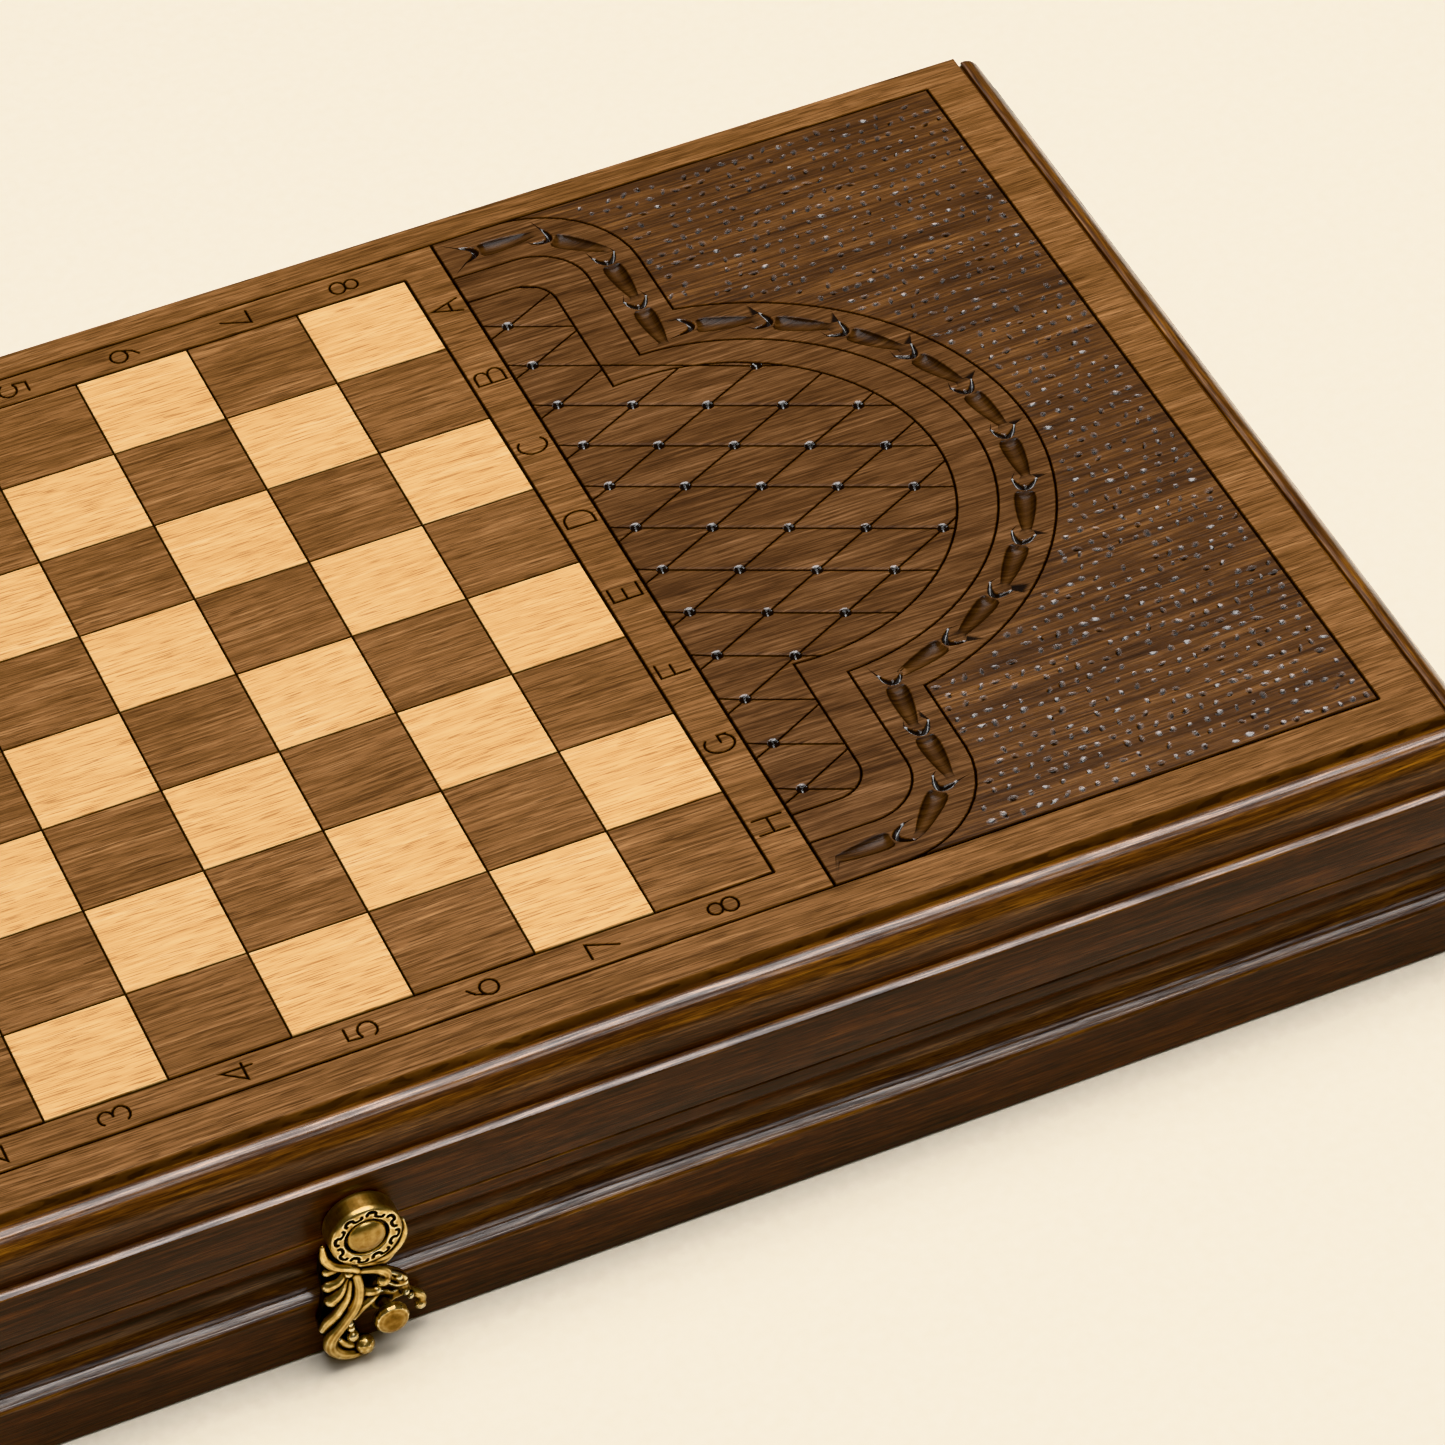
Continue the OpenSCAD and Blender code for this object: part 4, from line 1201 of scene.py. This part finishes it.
screw = cast("pivot_screw", build_screw, 0.22 * MM, 2)
measure_proud(screw.data)
finish_piece(screw, "lid", ["latch_pivot_screw"], [antique])
catch = cast("cast_catch", build_catch, 0.2 * MM, 2)
measure_proud(catch.data)
finish_piece(catch, "base", ["latch_catch"], [antique])

# %% [markdown]
# ## Inside the trays
# The rear rails, the boards, the inlaid points and the hinges keep their working shapes, which
# are flat boards and rolled leaves, and only need their finishes. Loose pieces and screws repeat,
# so one model of each is placed by Geometry Nodes on a set of points.

# %% Finishes of the working parts that stay
def dress(material, *names):
    for name in names:
        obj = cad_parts[name]
        if not obj.material_slots:
            obj.data.materials.append(material)
        for holder in obj.material_slots:
            holder.material = material


dress(rail_long, "base_rear_rail", "lid_rear_rail", "base_bottom_board")
dress(tray_wood, "base_field", "lid_field")
dress(point_light, "base_light_points", "lid_light_points")
dress(point_dark, "base_dark_points", "lid_dark_points")
for side_name in ("left", "right"):
    dress(bright_brass, *(f"hinge_{side_name}_{part}" for part in ("base_leaf", "lid_leaf", "pin")))


# %% A Geometry Nodes tree that sets copies of a part on points
def copies_tree():
    """Inputs: the part's mesh object, its size, and its material."""
    tree = bpy.data.node_groups.new("copies_on_points", "GeometryNodeTree")
    face = tree.interface
    face.new_socket("Points", in_out="INPUT", socket_type="NodeSocketGeometry")
    face.new_socket("Part", in_out="INPUT", socket_type="NodeSocketObject")
    face.new_socket("Size", in_out="INPUT", socket_type="NodeSocketFloat")
    face.new_socket("Finish", in_out="INPUT", socket_type="NodeSocketMaterial")
    face.new_socket("Copies", in_out="OUTPUT", socket_type="NodeSocketGeometry")
    given = add(tree, "NodeGroupInput").outputs
    part = add(tree, "GeometryNodeObjectInfo", inputs={"Object": given["Part"]})
    turn = add(tree, "GeometryNodeInputNamedAttribute", {"data_type": "FLOAT_VECTOR"}, {"Name": "turn"})
    size = add(tree, "ShaderNodeCombineXYZ", inputs={
        "X": given["Size"], "Y": given["Size"], "Z": given["Size"]})
    placed = add(tree, "GeometryNodeInstanceOnPoints", inputs={
        "Points": given["Points"], "Instance": part.outputs["Geometry"],
        "Rotation": turn.outputs["Attribute"], "Scale": size.outputs["Vector"]})
    real = add(tree, "GeometryNodeRealizeInstances", inputs={"Geometry": placed.outputs["Instances"]})
    painted = add(tree, "GeometryNodeSetMaterial", inputs={
        "Geometry": real.outputs["Geometry"], "Material": given["Finish"]})
    add(tree, "NodeGroupOutput", inputs={"Copies": painted.outputs["Geometry"]})
    return tree


COPIES = copies_tree()


def copies(name, part_mesh, spots, material, size=1.0):
    """One mesh of copies of a part at (point, turn) spots."""
    part = new_object(name + "_part", part_mesh)
    holder = new_object(name + "_points", mesh_from(name + "_points", [p for p, _ in spots], []))
    turns = holder.data.attributes.new("turn", "FLOAT_VECTOR", "POINT")
    turns.data.foreach_set("vector", [v for _, turn in spots for v in turn])
    modifier = holder.modifiers.new("copies", "NODES")
    modifier.node_group = COPIES
    values = {"Part": part, "Size": size, "Finish": material}
    for item in COPIES.interface.items_tree:
        if item.in_out == "INPUT" and item.name in values:
            modifier[item.identifier] = values[item.name]
    bpy.context.view_layer.update()
    mesh = bpy.data.meshes.new_from_object(holder.evaluated_get(bpy.context.evaluated_depsgraph_get()))
    bpy.data.objects.remove(holder)
    bpy.data.objects.remove(part)
    mesh.name = name
    return new_object(name, mesh)


def upright_turning(profile, sides, name):
    """Turns (radius, height) points about Z into a closed, smooth-shaded mesh."""
    work = bmesh.new()
    rings = []
    for radius, z in profile:
        angles = [2 * math.pi * k / sides for k in range(sides)]
        rings.append([work.verts.new((0, 0, z))] if radius == 0 else
                     [work.verts.new((radius * math.cos(a), radius * math.sin(a), z)) for a in angles])
    for a, b in zip(rings, rings[1:]):
        for k in range(sides):
            quad = [a[k % len(a)], a[(k + 1) % len(a)], b[(k + 1) % len(b)], b[k % len(b)]]
            work.faces.new(list(dict.fromkeys(quad)))
    bmesh.ops.recalc_face_normals(work, faces=work.faces)
    mesh = bpy.data.meshes.new(name)
    work.to_mesh(mesh)
    work.free()
    smooth_by_angle(mesh, 40)
    return mesh


# %% Checkers
CHECKER_R, CHECKER_H = 12.0, 8.0
half_checker = [(0, 7.0), (5.6, 7.0), (6.2, 7.5), (6.9, 8.0), (8.2, 8.0), (8.6, 7.5), (9.1, 7.4),
                (9.6, 7.6), (10.0, 8.0), (11.0, 7.9), (11.7, 7.2), (CHECKER_R, 6.2)]
checker_profile = [(r * MM, z * MM) for r, z in half_checker]
checker_profile += [(r * MM, (CHECKER_H - z) * MM) for r, z in reversed(half_checker)]
field_low, field_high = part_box("base_field")
ROW_PITCH = 24.6 * MM
point_pitch = (field_high[1] - field_low[1]) / 6
for side, colour, material in ((-1, "light", checker_light), (1, "dark", checker_dark)):
    spots = []
    for row in range(3):
        for k in range(5):
            x = side * (field_high[0] - ROW_PITCH * (k + 0.5))
            y = field_low[1] + point_pitch * (2 * row + 0.5 + (1 if side > 0 else 0))
            spots.append(((x, y, field_high[2]), (0, 0, 0)))
    part = upright_turning(checker_profile, 48, colour + "_checker")
    pieces = copies(colour + "_checker_set", part, spots, material)
    finish_piece(pieces, "base", [colour + "_checkers"])

# %% Dice
PIPS = {1: [(0, 0)], 2: [(-1, -1), (1, 1)], 3: [(-1, -1), (0, 0), (1, 1)],
        4: [(-1, -1), (-1, 1), (1, -1), (1, 1)], 5: [(-1, -1), (-1, 1), (0, 0), (1, -1), (1, 1)],
        6: [(-1, -1), (-1, 0), (-1, 1), (1, -1), (1, 0), (1, 1)]}
FACES = {1: (0, 0, 1), 6: (0, 0, -1), 2: (0, -1, 0), 5: (0, 1, 0), 3: (1, 0, 0), 4: (-1, 0, 0)}
DIE_SIDE = 12 * MM


def die(node, turn):
    low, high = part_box(node)
    centre = (Vector(low) + Vector(high)) / 2
    spin = Matrix.Translation(centre) @ Matrix.Rotation(math.radians(turn), 4, "Z")
    work = bmesh.new()
    bmesh.ops.create_cube(work, size=DIE_SIDE)
    bmesh.ops.bevel(work, geom=work.edges[:], offset=1.5 * MM, segments=5, profile=0.6, affect="EDGES")
    bmesh.ops.transform(work, matrix=spin, verts=work.verts)
    mesh = bpy.data.meshes.new(node + "_body")
    work.to_mesh(mesh)
    work.free()
    smooth_by_angle(mesh, 50)
    finish_piece(new_object(node + "_body", mesh), "base", [node], [ivory])
    spots = []
    for value, normal in FACES.items():
        out = Vector(normal)
        quaternion = out.to_track_quat("Z", "Y")
        for u, v in PIPS[value]:
            local = out * (DIE_SIDE / 2) + quaternion @ Vector((u, v, 0)) * 3 * MM
            world_turn = (spin.to_quaternion() @ quaternion).to_euler()
            spots.append((tuple(spin @ local), tuple(world_turn)))
    dot = upright_turning([(0, -0.3 * MM), (1.2 * MM, -0.3 * MM), (1.2 * MM, 0.02 * MM),
                           (0.8 * MM, 0.05 * MM), (0, 0.06 * MM)], 20, node + "_pip")
    finish_piece(copies(node + "_pips", dot, spots, pip_black), "base")


die("die_one", 20)
die("die_two", -35)

# %% Hinge screws
SCREW_SPREAD = 13 * MM
SCREW_INSET = 8 * MM


def slotted_screw():
    """A flat-headed screw with a slot, its head's top at the origin."""
    mesh = upright_turning([(0, 0), (1.95 * MM, 0), (2.2 * MM, -0.15 * MM), (2.2 * MM, -0.7 * MM),
                            (1.2 * MM, -0.7 * MM), (1.2 * MM, -7.6 * MM), (0, -8 * MM)], 32, "screw")
    work = bmesh.new()
    work.from_mesh(mesh)
    for offset in (-0.3, 0.3):
        everything = work.verts[:] + work.edges[:] + work.faces[:]
        bmesh.ops.bisect_plane(work, geom=everything, plane_co=(0, offset * MM, 0), plane_no=(0, 1, 0))
    slot_faces = [f for f in work.faces if f.normal.z > 0.9 and abs(f.calc_center_median().y) < 0.3 * MM]
    pushed = bmesh.ops.extrude_face_region(work, geom=slot_faces)
    sunk = [v for v in pushed["geom"] if isinstance(v, bmesh.types.BMVert)]
    bmesh.ops.translate(work, verts=sunk, vec=(0, 0, -0.4 * MM))
    bmesh.ops.delete(work, geom=slot_faces, context="FACES_ONLY")
    bmesh.ops.recalc_face_normals(work, faces=work.faces)
    work.to_mesh(mesh)
    work.free()
    return mesh


for label, flip in (("base", 0), ("lid", math.pi)):
    spots = []
    for side_name in ("left", "right"):
        low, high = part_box(f"hinge_{side_name}_{label}_leaf")
        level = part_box(f"{label}_hinge_screws")[0 if flip else 1][2]
        for spread in (-SCREW_SPREAD, SCREW_SPREAD):
            x = (low[0] + high[0]) / 2 + spread
            spots.append(((x, panel_high[1] - SCREW_INSET, level), (flip, 0, chance.uniform(0, 3))))
    screws = copies(label + "_leaf_screws", slotted_screw(), spots, bright_brass)
    finish_piece(screws, label, [label + "_hinge_screws"])
